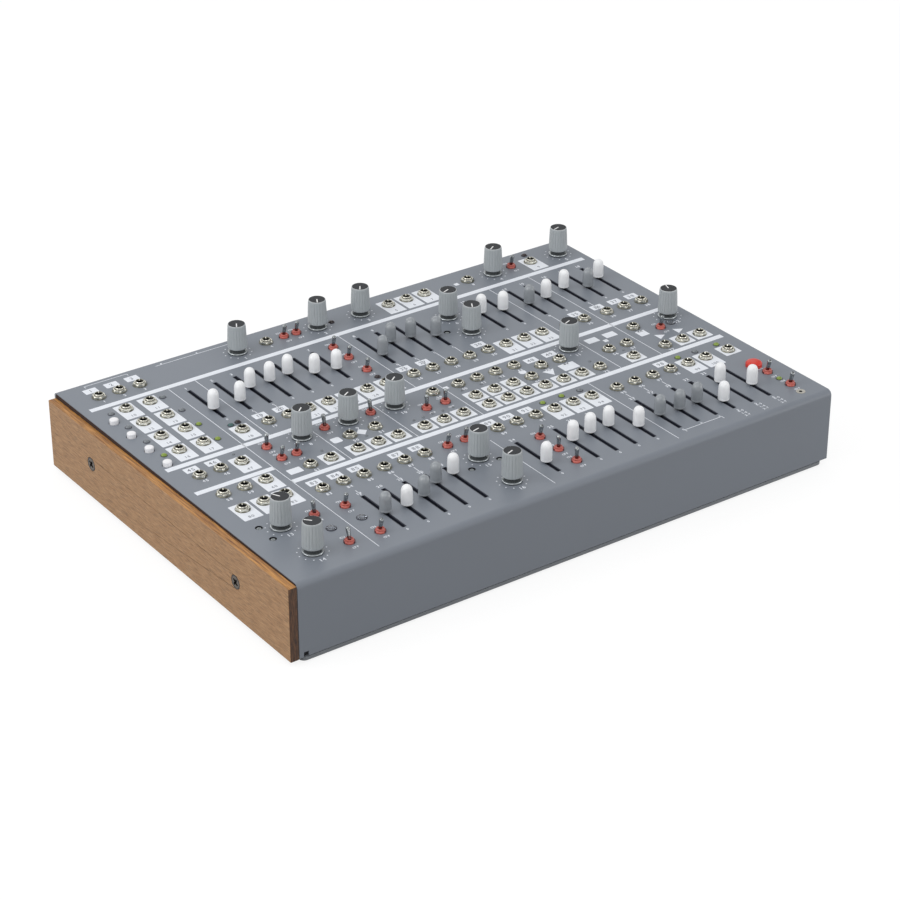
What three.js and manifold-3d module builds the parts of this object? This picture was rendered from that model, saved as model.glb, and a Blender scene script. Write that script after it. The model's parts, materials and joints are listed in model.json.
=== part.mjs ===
import * as THREE from 'three';
import { mergeVertices } from 'three/addons/utils/BufferGeometryUtils.js';
import Module from 'manifold-3d';

const wasm = await Module();
wasm.setup();

// Case: a folded steel cover over a shallow steel tray, in millimetres
const panelWidth = 430;
const panelDepth = 305;
const caseHeight = 53.2;
const coverLift = 0.8;
const panelSheet = 1.6;
const bendRadius = 4;
const bendSteps = 4;
const sideFlangeInset = 0.4;
const notchWidth = 3.6;
const notchHeight = 3.4;
const notchInset = 3.2;
const runningGap = 0.35;

// Tray with its low rim and its round feet
const traySheet = 1.2;
const trayDrop = 2.2;
const trayLeftInset = 1.6;
const trayRightGap = 2;
const trayCornerRadius = 4;
const trayCornerSteps = 3;
const rimGap = 0.5;
const upstandHeight = 9;
const footHeight = 1.5;
const footRadius = 7;
const footInset = 34;
const footSides = 12;

// Wooden cheek on the left, its two countersunk screws and the nut strip behind
const cheekThickness = 6;
const cheekGap = 0.4;
const cheekFrontFall = 1;
const cheekRearFall = 2.6;
const cheekChamfer = 0.5;
const screwShankRadius = 2;
const screwHeadRadius = 4.6;
const screwHeadDepth = 2.6;
const screwHeightShare = 0.495;
const screwPlaceShares = [0.204, 0.805];
const screwSides = 8;
const nutStripThickness = 3;
const nutStripHeight = 11;
const nutStripOverhang = 12;

// Control board below the panel
const boardThickness = 1.6;
const boardClearance = 2.4;
const boardSideGap = 2.4;
const riserInset = 9;
const riserWidth = 96;
const riserMargin = 6;
const riserPlaceShare = 0.72;
const inletRadius = 4.6;
const inletBoreRadius = 2.9;
const inletFloor = 2;
const inletPinRadius = 0.9;
const inletPlaceShare = 0.2;
const portWidth = 9.2;
const portHeight = 3.4;
const portFloor = 2;
const portWall = 0.5;
const portPlaceShare = 0.72;
const connectorHeightShare = 0.4;

// Jack: threaded post, round nut and raised mouth with a 3.5 mm bore
const boreRadius = 2;
const postWall = 0.35;
const jackHoleClearance = 0.4;
const nutFlange = 1.7;
const nutHeight = 1.9;
const mouthRise = 1.1;
const boreDepth = 8;
const jackSides = 6;
const postSides = 4;

// Toggle switch: neck, flared collar and slanted lever
const neckRadius = 2.5;
const collarFlange = 1.3;
const collarTaper = 1;
const collarHeight = 2.4;
const leverRadius = 1.5;
const leverLength = 7;
const leverSink = 1;
const leverTilt = THREE.MathUtils.degToRad(13);
const toggleSides = 6;

// Slide control: straight slot, cap on a flat stem, track below
const slotLength = 47.2;
const stemWidth = 1.5;
const stemClearance = 0.85;
const stemLength = 2;
const capRadius = 3.8;
const capShoulderRadius = 3.7;
const capCrownRadius = 2.4;
const capLift = 1.5;
const capShoulderHeight = 10.3;
const capCrownHeight = 12.8;
const capHeight = 13.5;
const capSides = 8;
const trackWidth = 7.4;
const trackOverhang = 4;
const trackHeight = 6.6;

// Rotary control: knob with skirt on its shaft, housing below
const shaftRadius = 3;
const shaftHoleClearance = 0.6;
const skirtLift = 0.4;
const skirtRadius = 7;
const skirtHeight = 1.2;
const grooveRadius = 5.3;
const grooveHeight = 2.6;
const knobFootRadius = 6.9;
const knobTopRadius = 6.4;
const knobHeight = 22.2;
const knobSides = 10;
const shaftHoleSides = 8;
const pointerWidth = 1;
const pointerDepth = 0.5;
const housingWidth = 10;
const housingHeight = 6.4;

// Push buttons on tact switches
const whiteButtonRadius = 3.3;
const whiteButtonHeight = 2.5;
const redButtonRadius = 5.5;
const redButtonHeight = 3.2;
const buttonDome = 0.8;
const buttonTravel = 0.8;
const buttonHoleClearance = 0.35;
const buttonSides = 8;
const tactHeight = 5;
const tactWidthShare = 1.5;

// Places on the panel, as shares of its width and of its depth
const jackPitchShare = 0.0367;
const blockPitchShare = 0.0766;
const jackRunShares = [
  [0.0490, 0.9210, 3], [0.3647, 0.9357, 1], [0.6065, 0.9357, 3], [0.7705, 0.9357, 1],
  [0.9040, 0.9330, 1], [0.1756, 0.6063, 1], [0.2233, 0.6063, 7], [0.4960, 0.6063, 8],
  [0.8033, 0.6050, 2], [0.8880, 0.6040, 3], [0.0486, 0.4858, 3], [0.0486, 0.3900, 3],
  [0.2009, 0.3900, 2], [0.2870, 0.3900, 3], [0.4100, 0.3900, 3], [0.5330, 0.3900, 7],
  [0.8214, 0.3880, 1], [0.8880, 0.3890, 3], [0.2998, 0.4498, 1], [0.3465, 0.4498, 1],
  [0.5330, 0.4410, 4], [0.8038, 0.4469, 2], [0.4840, 0.5076, 1], [0.5330, 0.5076, 4],
  [0.8870, 0.5040, 1], [0.6793, 0.4726, 2], [0.0486, 0.3142, 3], [0.1763, 0.2898, 6],
  [0.4967, 0.2898, 6], [0.7298, 0.2880, 6], [0.9605, 0.2875, 1],
];
const blockColumnShares = [0.0637, 0.1063];
const blockFirstRowShare = 0.6063;
const blockRows = 4;

const knobShares = {
  rear: [[0.3084, 0.9317], [0.4635, 0.9327], [0.5488, 0.9327], [0.8226, 0.9320], [0.9628, 0.9307]],
  upper: [[0.6605, 0.7987], [0.6605, 0.7050]],
  middle: [[0.2372, 0.5036], [0.3230, 0.5046], [0.4100, 0.5050], [0.7521, 0.5036], [0.9605, 0.5050]],
  front: [[0.0665, 0.2073], [0.0665, 0.0884], [0.4177, 0.2073], [0.4177, 0.0884]],
};
const pointerDegrees = {
  rear: [150, 150, 145, 123, 108],
  upper: [110, 150],
  middle: [132, 121, 127, 112, -18],
  front: [28, 42, 103, 110],
};

// Each slider has its column, its share of the travel from the front end, and its colour
const sliderRowShares = { rear: 0.755, front: 0.1403 };
const sliderShares = {
  rear: [
    [0.1747, 0.291, 'white'], [0.2223, 0.278, 'white'], [0.2590, 0.570, 'white'],
    [0.2957, 0.570, 'white'], [0.3324, 0.615, 'white'], [0.3691, 0.401, 'white'],
    [0.4058, 0.322, 'white'], [0.4940, 0.300, 'grey'], [0.5307, 0.603, 'grey'],
    [0.5674, 0.558, 'grey'], [0.6041, 0.367, 'grey'], [0.7142, 0.610, 'white'],
    [0.7509, 0.498, 'white'], [0.8014, 0.442, 'grey'], [0.8381, 0.457, 'white'],
    [0.8854, 0.576, 'white'], [0.9221, 0.385, 'grey'], [0.9588, 0.565, 'white'],
  ],
  front: [
    [0.2119, 0.444, 'grey'], [0.2486, 0.428, 'white'], [0.2853, 0.511, 'grey'],
    [0.3220, 0.725, 'grey'], [0.3587, 0.797, 'white'], [0.4928, 0.287, 'white'],
    [0.5665, 0.579, 'white'], [0.6032, 0.619, 'white'], [0.6399, 0.630, 'white'],
    [0.6766, 0.358, 'white'], [0.7272, 0.455, 'grey'], [0.7639, 0.421, 'grey'],
    [0.8006, 0.439, 'grey'], [0.8373, 0.235, 'white'], [0.8740, 0.736, 'white'],
    [0.9107, 0.399, 'white'],
  ],
};

// Each toggle has its place and which way its lever leans, 1 to the rear and -1 to the front
const toggleShares = [
  [0.3991, 0.9356, -1], [0.4228, 0.9353, -1], [0.8642, 0.9373, -1], [0.4421, 0.8205, -1],
  [0.4430, 0.7584, -1], [0.4430, 0.6842, -1], [0.1758, 0.5079, 0], [0.1758, 0.4479, -1],
  [0.2026, 0.4479, -1], [0.2807, 0.5083, 1], [0.3660, 0.5083, 1], [0.4456, 0.4545, 0],
  [0.4814, 0.4545, 0], [0.9233, 0.4663, -1], [0.4014, 0.2878, -1], [0.4347, 0.2884, -1],
  [0.1237, 0.2076, 1], [0.1233, 0.0776, 1], [0.1749, 0.2023, -1], [0.1756, 0.0756, -1],
  [0.5321, 0.2040, -1], [0.5321, 0.1386, 0], [0.5323, 0.0762, 0], [0.9593, 0.1502, -1],
  [0.9607, 0.0756, -1],
];

const whiteButtonShares = [[0.0263, 0.7957], [0.0263, 0.7191], [0.0263, 0.6425], [0.0263, 0.5659]];
const redButtonShare = [0.9570, 0.1931];

// Heights worked out from the sizes above
const trayBottom = footHeight;
const cheekBottom = footHeight + trayDrop;
const coverBottom = cheekBottom + coverLift;
const panelTop = cheekBottom + caseHeight;
const panelUnder = panelTop - panelSheet;
const flangeInside = sideFlangeInset + panelSheet;
const rimHeight = trayDrop + coverLift - rimGap;
const boardTop = panelUnder - boardClearance - Math.max(trackHeight, housingHeight, tactHeight);
const boardBottom = boardTop - boardThickness;
const slotWidth = stemWidth + 2 * stemClearance;
const travel = slotLength - stemLength - 2 * runningGap;
const jackPostRadius = (boreRadius + postWall) * Math.SQRT2;
const nutRadius = jackPostRadius + nutFlange;
const mouthHeight = nutHeight + mouthRise;
const collarRadius = neckRadius + collarFlange;
const collarTopRadius = collarRadius - collarTaper;

// Materials
function finish(color, roughness, metalness) {
  return () => new THREE.MeshStandardMaterial({ color, roughness, metalness });
}
const powderCoat = finish(0x8a9097, 0.55, 0.3);
const trayCoat = finish(0x70757a, 0.55, 0.3);
const oiledWood = finish(0xa67c52, 0.6, 0);
const blackSteel = finish(0x2b2b2d, 0.4, 0.8);
const jackMetal = finish(0xcfcabb, 0.3, 0.9);
const knobGrey = finish(0x979c9c, 0.45, 0);
const capColours = { white: finish(0xe9eaec, 0.4, 0), grey: finish(0x868a8c, 0.45, 0) };
const whitePlastic = finish(0xf1f1f3, 0.35, 0);
const redPlastic = finish(0xd8412f, 0.35, 0);

// A closed three.js geometry becomes a solid that can be joined and cut
function solid(geometry) {
  geometry.deleteAttribute('normal');
  geometry.deleteAttribute('uv');
  const merged = mergeVertices(geometry);
  const index = merged.getIndex().array;
  const triangles = [];
  for (let i = 0; i < index.length; i += 3) {
    const [a, b, c] = [index[i], index[i + 1], index[i + 2]];
    if (a !== b && b !== c && c !== a) triangles.push(a, b, c);
  }
  const mesh = new wasm.Mesh({
    numProp: 3,
    vertProperties: new Float32Array(merged.getAttribute('position').array),
    triVerts: new Uint32Array(triangles),
  });
  mesh.merge();
  return new wasm.Manifold(mesh);
}

function block(x0, x1, y0, y1, z0, z1) {
  const geometry = new THREE.BoxGeometry(x1 - x0, y1 - y0, z1 - z0);
  return solid(geometry.translate((x0 + x1) / 2, (y0 + y1) / 2, (z0 + z1) / 2));
}

// Upright prism or cone frustum between two heights, centred on the Z axis
function prism(sides, radius, low, high, topRadius = radius) {
  const geometry = new THREE.CylinderGeometry(topRadius, radius, high - low, sides);
  return solid(geometry.rotateX(Math.PI / 2).translate(0, 0, (low + high) / 2));
}

// Solid of revolution about the Z axis; the profile runs from its bottom to its top
function revolve(profile, sides) {
  const points = profile.map(([radius, height]) => new THREE.Vector2(radius, height));
  return solid(new THREE.LatheGeometry(points, sides).rotateX(Math.PI / 2));
}

// Outline in the Y-Z plane, extruded along X
function extrudeAcross(shape, x0, x1) {
  const settings = { depth: x1 - x0, bevelEnabled: false, curveSegments: bendSteps };
  const geometry = new THREE.ExtrudeGeometry(shape, settings);
  const axes = new THREE.Matrix4().makeBasis(
    new THREE.Vector3(0, 1, 0), new THREE.Vector3(0, 0, 1), new THREE.Vector3(1, 0, 0));
  return solid(geometry.applyMatrix4(axes).translate(x0, 0, 0));
}

function join(solids) {
  let level = solids;
  while (level.length > 1) {
    const next = [];
    for (let i = 0; i < level.length; i += 2) {
      next.push(i + 1 < level.length ? level[i].add(level[i + 1]) : level[i]);
    }
    level = next;
  }
  return level[0];
}

function cut(base, cutters) {
  return base.subtract(join(cutters));
}

function at(body, x, y, z = 0) {
  return body.translate([x, y, z]);
}

function piece(name, body, material, x = 0, y = 0, z = 0) {
  const { vertProperties, triVerts } = body.getMesh();
  const geometry = new THREE.BufferGeometry();
  geometry.setAttribute('position', new THREE.BufferAttribute(new Float32Array(vertProperties), 3));
  geometry.setIndex(new THREE.BufferAttribute(new Uint32Array(triVerts), 1));
  geometry.computeVertexNormals();
  const mesh = new THREE.Mesh(geometry, material());
  mesh.name = name;
  mesh.position.set(x, y, z);
  return mesh;
}

// Places of the repeated controls, in millimetres from the panel's front left corner
function place([columnShare, rowShare]) {
  return [columnShare * panelWidth, rowShare * panelDepth];
}

const jackPlaces = [];
for (const [columnShare, rowShare, count] of jackRunShares) {
  for (let i = 0; i < count; i += 1) {
    jackPlaces.push(place([columnShare + i * jackPitchShare, rowShare]));
  }
}
for (const columnShare of blockColumnShares) {
  for (let i = 0; i < blockRows; i += 1) {
    jackPlaces.push(place([columnShare, blockFirstRowShare + i * blockPitchShare]));
  }
}
const togglePlaces = toggleShares.map(place);
const knobPlaces = Object.values(knobShares).flat().map(place);
const slotPlaces = Object.entries(sliderShares).flatMap(([bank, sliders]) =>
  sliders.map(([columnShare]) => place([columnShare, sliderRowShares[bank]])));
const whiteButtonPlaces = whiteButtonShares.map(place);
const redButtonPlace = place(redButtonShare);

const screwPlaces = screwPlaceShares.map((share) => share * panelDepth);
const screwHeight = cheekBottom + screwHeightShare * caseHeight;
const riserCentre = riserPlaceShare * panelWidth;
const connectorHeight = cheekBottom + connectorHeightShare * caseHeight;
const inletCentre = riserCentre + (inletPlaceShare - 1 / 2) * riserWidth;
const portCentre = riserCentre + (portPlaceShare - 1 / 2) * riserWidth;
const riserFace = panelDepth - riserInset;
const overrun = panelSheet;

// A bolt hole or post along X, used by the cheek, its flange and its screws
function crossPrism(radius, x0, x1, topRadius = radius) {
  const geometry = new THREE.CylinderGeometry(topRadius, radius, x1 - x0, screwSides);
  return solid(geometry.rotateZ(-Math.PI / 2).translate((x0 + x1) / 2, 0, 0));
}

// Hole with the round clearance that a post of this radius needs at its corners and flats
function holeRadius(radius, clearance, sides) {
  return (radius + clearance) / Math.cos(Math.PI / sides);
}

// Cover: top panel rolled over at the front, with a rear apron and two side flanges
function coverSheet() {
  const shape = new THREE.Shape();
  shape.moveTo(0, coverBottom);
  shape.lineTo(0, panelTop - bendRadius);
  shape.absarc(bendRadius, panelTop - bendRadius, bendRadius, Math.PI, Math.PI / 2, true);
  shape.lineTo(panelDepth, panelTop);
  shape.lineTo(panelDepth, coverBottom);
  shape.lineTo(panelDepth - panelSheet, coverBottom);
  shape.lineTo(panelDepth - panelSheet, panelUnder);
  shape.lineTo(bendRadius, panelUnder);
  shape.absarc(bendRadius, panelTop - bendRadius, bendRadius - panelSheet, Math.PI / 2, Math.PI, false);
  shape.lineTo(panelSheet, coverBottom);
  const seam = panelSheet / 2;
  const flanges = [sideFlangeInset, panelWidth - sideFlangeInset - panelSheet].flatMap((x) => [
    block(x, x + panelSheet, bendRadius, panelDepth - seam, coverBottom, panelTop - seam),
    block(x, x + panelSheet, seam, bendRadius, coverBottom, panelTop - bendRadius),
  ]);
  return join([extrudeAcross(shape, 0, panelWidth), ...flanges]);
}

function frontPanel() {
  const low = panelUnder - overrun;
  const high = panelTop + overrun;
  const through = [-overrun, panelSheet + overrun];
  const jackHole = prism(jackSides, holeRadius(jackPostRadius, jackHoleClearance, jackSides), low, high);
  const shaftHole = prism(shaftHoleSides, shaftRadius + shaftHoleClearance, low, high);
  const neckHole = prism(toggleSides, holeRadius(neckRadius, runningGap, toggleSides), low, high);
  const [whiteHole, redHole] = [whiteButtonRadius, redButtonRadius].map((radius) =>
    prism(buttonSides, holeRadius(radius, buttonHoleClearance, buttonSides), low, high));
  const slot = block(-slotWidth / 2, slotWidth / 2, -slotLength / 2, slotLength / 2, low, high);
  const screwHole = crossPrism(holeRadius(screwShankRadius, runningGap, screwSides), ...through);
  const notch = block(0, notchWidth, ...through, coverBottom - overrun, coverBottom + notchHeight);
  const inletHole = prism(screwSides, holeRadius(inletRadius, runningGap, screwSides), ...through)
    .rotate([-90, 0, 0]);
  const [portHalfWidth, portHalfHeight] = [portWidth / 2 + runningGap, portHeight / 2 + runningGap];
  const portHole = block(-portHalfWidth, portHalfWidth, ...through, -portHalfHeight, portHalfHeight);
  return cut(coverSheet(), [
    ...jackPlaces.map(([x, y]) => at(jackHole, x, y)),
    ...knobPlaces.map(([x, y]) => at(shaftHole, x, y)),
    ...togglePlaces.map(([x, y]) => at(neckHole, x, y)),
    ...whiteButtonPlaces.map(([x, y]) => at(whiteHole, x, y)),
    at(redHole, ...redButtonPlace),
    ...slotPlaces.map(([x, y]) => at(slot, x, y)),
    ...screwPlaces.map((y) => at(screwHole, 0, y, screwHeight)),
    at(notch, notchInset, 0),
    at(inletHole, inletCentre, panelDepth - panelSheet, connectorHeight),
    at(portHole, portCentre, panelDepth - panelSheet, connectorHeight),
  ]);
}

// Tray: floor with rounded corners, a low rim under the cover and an upstand inside it
function rounded(x0, x1, y0, y1, radius, z0, z1) {
  const shape = new THREE.Shape();
  shape.moveTo(x0 + radius, y0);
  shape.lineTo(x1 - radius, y0);
  shape.absarc(x1 - radius, y0 + radius, radius, -Math.PI / 2, 0, false);
  shape.lineTo(x1, y1 - radius);
  shape.absarc(x1 - radius, y1 - radius, radius, 0, Math.PI / 2, false);
  shape.lineTo(x0 + radius, y1);
  shape.absarc(x0 + radius, y1 - radius, radius, Math.PI / 2, Math.PI, false);
  shape.lineTo(x0, y0 + radius);
  shape.absarc(x0 + radius, y0 + radius, radius, Math.PI, Math.PI * 3 / 2, false);
  const geometry = new THREE.ExtrudeGeometry(
    shape, { depth: z1 - z0, bevelEnabled: false, curveSegments: trayCornerSteps });
  return solid(geometry.translate(0, 0, z0));
}

function baseTray() {
  const right = panelWidth - flangeInside - trayRightGap;
  const back = panelSheet + runningGap;
  const left = flangeInside + runningGap;
  const wellEdge = back + traySheet;
  const pan = rounded(
    trayLeftInset, right, 0, panelDepth, trayCornerRadius, trayBottom, trayBottom + rimHeight);
  const well = block(
    left + traySheet, right - traySheet, wellEdge, panelDepth - wellEdge,
    trayBottom + traySheet, trayBottom + rimHeight + overrun);
  const upstand = cut(
    block(left, right, back, panelDepth - back, trayBottom + traySheet / 2, trayBottom + upstandHeight),
    [block(
      left + traySheet, right - traySheet, wellEdge, panelDepth - wellEdge,
      trayBottom, trayBottom + upstandHeight + overrun)]);
  const foot = prism(footSides, footRadius, 0, trayBottom + traySheet / 2);
  const feet = [];
  for (const x of [footInset, panelWidth - footInset]) {
    for (const y of [footInset, panelDepth - footInset]) feet.push(at(foot, x, y));
  }
  return join([cut(pan, [well]), upstand, ...feet]);
}

// Cheek: oiled board whose top edge falls a little towards the rear
function leftCheek() {
  const shape = new THREE.Shape();
  shape.moveTo(cheekChamfer, cheekBottom);
  shape.lineTo(panelDepth - cheekChamfer, cheekBottom);
  shape.lineTo(panelDepth, cheekBottom + cheekChamfer);
  shape.lineTo(panelDepth, panelTop - cheekRearFall - cheekChamfer);
  shape.lineTo(panelDepth - cheekChamfer, panelTop - cheekRearFall);
  shape.lineTo(cheekChamfer, panelTop - cheekFrontFall);
  shape.lineTo(0, panelTop - cheekFrontFall - cheekChamfer);
  shape.lineTo(0, cheekBottom + cheekChamfer);
  const outer = -cheekGap - cheekThickness;
  const board = extrudeAcross(shape, outer, -cheekGap);
  const bore = crossPrism(
    holeRadius(screwShankRadius, runningGap, screwSides), outer - overrun, -cheekGap + overrun);
  const seat = crossPrism(
    holeRadius(screwHeadRadius, runningGap, screwSides), outer, outer + screwHeadDepth + runningGap);
  const sink = crossPrism(holeRadius(screwHeadRadius, runningGap, screwSides), outer - overrun, outer);
  const hole = join([bore, seat, sink]);
  return cut(board, screwPlaces.map((y) => at(hole, 0, y, screwHeight)));
}

// Two countersunk screws, tightened into one nut strip inside the cover's flange
function cheekFixings() {
  const outer = -cheekGap - cheekThickness;
  const stripFace = flangeInside + runningGap;
  const head = crossPrism(screwHeadRadius, outer, outer + screwHeadDepth, screwHeadRadius / 2);
  const shank = crossPrism(screwShankRadius, outer + screwHeadDepth / 2, stripFace + nutStripThickness);
  const driveWidth = screwShankRadius / 3;
  const drives = [[screwShankRadius, driveWidth], [driveWidth, screwShankRadius]].map(([deep, tall]) =>
    block(outer - overrun, outer + screwHeadDepth / 3, -deep, deep, -tall, tall));
  const screw = cut(join([head, shank]), drives);
  const strip = block(
    stripFace, stripFace + nutStripThickness,
    screwPlaces[0] - nutStripOverhang, screwPlaces[1] + nutStripOverhang,
    screwHeight - nutStripHeight / 2, screwHeight + nutStripHeight / 2);
  return join([strip, ...screwPlaces.map((y) => at(screw, 0, y, screwHeight))]);
}

// Jack: square threaded post through the panel, nut with a raised mouth and a blind bore
function jack() {
  const nutBottom = panelTop + runningGap;
  const mouthTop = panelTop + mouthHeight;
  const nut = revolve([
    [0, nutBottom], [nutRadius, nutBottom], [nutRadius, panelTop + nutHeight],
    [boreRadius, mouthTop], [0, mouthTop],
  ], jackSides);
  const post = prism(postSides, jackPostRadius, boardTop - boardThickness / 2, panelTop + nutHeight);
  const bore = prism(jackSides, boreRadius, mouthTop - boreDepth, mouthTop + overrun);
  return cut(join([nut, post]), [bore]);
}

// Toggle switch: its lever leans about X from the collar's mouth
function toggle(lean) {
  const collarBottom = panelTop + runningGap;
  const collarTop = collarBottom + collarHeight;
  const neckBottom = boardTop - boardThickness / 2;
  const neck = prism(toggleSides, neckRadius, neckBottom, collarBottom + collarHeight / 2);
  const collar = prism(toggleSides, collarRadius, collarBottom, collarTop, collarTopRadius);
  const lever = prism(postSides, leverRadius, 0, leverLength + leverSink)
    .rotate([THREE.MathUtils.radToDeg(-lean * leverTilt), 0, 0]);
  return join([neck, collar, at(lever, 0, 0, collarTop - leverSink)]);
}

// Board with everything that is soldered to it: jacks, switches, tracks, housings and connectors
function controlBoard() {
  const sunk = boardTop - boardThickness / 2;
  const edge = flangeInside + boardSideGap;
  const board = block(edge, panelWidth - edge, edge, panelDepth - edge, boardBottom, boardTop);
  const track = block(
    -trackWidth / 2, trackWidth / 2, -slotLength / 2 - trackOverhang, slotLength / 2 + trackOverhang,
    sunk, boardTop + trackHeight);
  const housing = block(
    -housingWidth / 2, housingWidth / 2, -housingWidth / 2, housingWidth / 2,
    sunk, boardTop + housingHeight);
  const whiteTact = tact(whiteButtonRadius, sunk);
  const redTact = tact(redButtonRadius, sunk);
  const oneJack = jack();
  const riser = block(
    riserCentre - riserWidth / 2, riserCentre + riserWidth / 2, riserFace - boardThickness, riserFace,
    connectorHeight - inletRadius - riserMargin, boardTop);
  return join([
    board,
    ...slotPlaces.map(([x, y]) => at(track, x, y)),
    ...knobPlaces.map(([x, y]) => at(housing, x, y)),
    ...whiteButtonPlaces.map(([x, y]) => at(whiteTact, x, y)),
    at(redTact, ...redButtonPlace),
    ...jackPlaces.map(([x, y]) => at(oneJack, x, y)),
    ...toggleShares.map((share) => at(toggle(share[2]), ...place(share))),
    riser,
    at(inlet(), inletCentre, 0, connectorHeight),
    at(port(), portCentre, 0, connectorHeight),
  ]);
}

function tact(radius, sunk) {
  const half = radius * tactWidthShare / 2;
  return block(-half, half, -half, half, sunk, boardTop + tactHeight);
}

// Power inlet: round body with a centre pin, just short of the cover's rear face
function inlet() {
  const bore = prism(screwSides, inletBoreRadius, inletFloor, riserInset + overrun);
  const body = cut(prism(screwSides, inletRadius, 0, riserInset), [bore]);
  const pin = prism(postSides, inletPinRadius, inletFloor / 2, riserInset - panelSheet);
  return at(join([body, pin]).rotate([-90, 0, 0]), 0, riserFace - boardThickness / 2);
}

function port() {
  const [halfWidth, halfHeight] = [portWidth / 2, portHeight / 2];
  const back = riserFace - boardThickness / 2;
  const front = panelDepth - boardThickness / 2;
  const shell = block(-halfWidth, halfWidth, back, front, -halfHeight, halfHeight);
  const mouth = block(
    portWall - halfWidth, halfWidth - portWall, riserFace + portFloor, front + overrun,
    portWall - halfHeight, halfHeight - portWall);
  return cut(shell, [mouth]);
}

// Knob: shaft, skirt, neck and tapered body, with a pointer cut in its top; origin at panel height
function knob() {
  const shaftLow = boardTop + housingHeight + runningGap - panelTop;
  const skirtTop = skirtLift + skirtHeight;
  const foot = skirtTop + grooveHeight;
  const body = revolve([
    [0, shaftLow], [shaftRadius, shaftLow], [shaftRadius, skirtLift], [skirtRadius, skirtLift],
    [skirtRadius, skirtTop], [grooveRadius, skirtTop], [grooveRadius, foot], [knobFootRadius, foot],
    [knobTopRadius, knobHeight], [0, knobHeight],
  ], knobSides);
  const pointer = block(
    -pointerWidth / 2, pointerWidth / 2, 0, knobTopRadius - pointerWidth,
    knobHeight - pointerDepth, knobHeight + overrun);
  return cut(body, [pointer]);
}

// Slide cap: rounded cap on a flat stem that runs in the slot; origin at panel height
function sliderCap() {
  const stemLow = boardTop + trackHeight + runningGap - panelTop;
  const cap = revolve([
    [0, capLift], [capRadius, capLift], [capShoulderRadius, capLift + capShoulderHeight],
    [capCrownRadius, capLift + capCrownHeight], [0, capLift + capHeight],
  ], capSides);
  const stem = block(
    -stemWidth / 2, stemWidth / 2, -stemLength / 2, stemLength / 2,
    stemLow, capLift + capShoulderHeight / 2);
  return cap.add(stem);
}

// Push button: plunger with a low dome, standing its travel above the switch; origin at panel height
function button(radius, height) {
  const low = boardTop + tactHeight + buttonTravel + runningGap - panelTop;
  return revolve([[0, low], [radius, low], [radius, height], [radius - buttonDome, height + buttonDome],
    [0, height + buttonDome]], buttonSides);
}

const instrument = new THREE.Group();
instrument.position.set(-(panelWidth - cheekGap - cheekThickness) / 2, -panelDepth / 2, 0);
instrument.add(
  piece('front_panel', frontPanel(), powderCoat),
  piece('base_tray', baseTray(), trayCoat),
  piece('left_cheek', leftCheek(), oiledWood),
  piece('cheek_fixings', cheekFixings(), blackSteel),
  piece('control_board', controlBoard(), jackMetal),
);

const knobBody = knob();
for (const [row, shares] of Object.entries(knobShares)) {
  shares.forEach((share, i) => {
    const mesh = piece(`knob_${row}_${i + 1}`, knobBody, knobGrey, ...place(share), panelTop);
    mesh.rotation.z = THREE.MathUtils.degToRad(pointerDegrees[row][i]);
    instrument.add(mesh);
  });
}

const capBody = sliderCap();
for (const [bank, sliders] of Object.entries(sliderShares)) {
  sliders.forEach(([columnShare, travelShare, colour], i) => {
    const [x, y] = place([columnShare, sliderRowShares[bank]]);
    const offset = (travelShare - 1 / 2) * travel;
    instrument.add(piece(`slider_${bank}_${i + 1}`, capBody, capColours[colour], x, y + offset, panelTop));
  });
}

const whiteBody = button(whiteButtonRadius, whiteButtonHeight);
whiteButtonPlaces.forEach(([x, y], i) => {
  instrument.add(piece(`white_button_${i + 1}`, whiteBody, whitePlastic, x, y, panelTop));
});
instrument.add(
  piece('red_button', button(redButtonRadius, redButtonHeight), redPlastic, ...redButtonPlace, panelTop));

const group = new THREE.Group();
group.add(instrument);

export default group;
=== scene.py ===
import json
import math
import random

import bpy
from mathutils import Matrix, Vector
from mathutils.geometry import delaunay_2d_cdt


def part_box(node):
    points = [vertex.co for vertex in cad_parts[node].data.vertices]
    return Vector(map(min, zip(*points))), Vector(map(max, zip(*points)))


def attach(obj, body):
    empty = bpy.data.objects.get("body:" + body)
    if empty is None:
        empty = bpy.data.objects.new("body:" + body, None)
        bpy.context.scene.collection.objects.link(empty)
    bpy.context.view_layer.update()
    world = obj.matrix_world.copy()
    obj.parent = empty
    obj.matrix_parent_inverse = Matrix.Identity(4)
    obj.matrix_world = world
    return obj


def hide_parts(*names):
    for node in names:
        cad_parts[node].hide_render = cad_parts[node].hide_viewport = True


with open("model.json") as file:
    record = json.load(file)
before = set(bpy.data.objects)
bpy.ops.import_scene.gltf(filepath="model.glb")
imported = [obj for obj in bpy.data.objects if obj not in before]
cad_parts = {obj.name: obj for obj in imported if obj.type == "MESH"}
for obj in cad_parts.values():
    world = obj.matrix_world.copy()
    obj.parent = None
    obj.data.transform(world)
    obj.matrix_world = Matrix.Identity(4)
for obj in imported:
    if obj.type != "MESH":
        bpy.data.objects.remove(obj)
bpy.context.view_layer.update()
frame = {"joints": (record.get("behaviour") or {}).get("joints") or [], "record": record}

# Camera: a long lens that looks down over the front left corner of the case. Its place
# is measured from the lower front corner of the case, in millimetres.
MM = 0.001
cover_low, cover_high = (Vector(corner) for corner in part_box("front_panel"))
cheek_low, cheek_high = (Vector(corner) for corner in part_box("left_cheek"))
AZIMUTH = math.radians(-35.502)
ELEVATION = math.radians(28.882)
ROLL = math.radians(-0.04)
AIM = Vector((215, 150, 40))
SIDEWAYS, BELOW, DISTANCE = 3.14, 27.23, 1800.9
LENS, SENSOR = 105.965, 36

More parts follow.
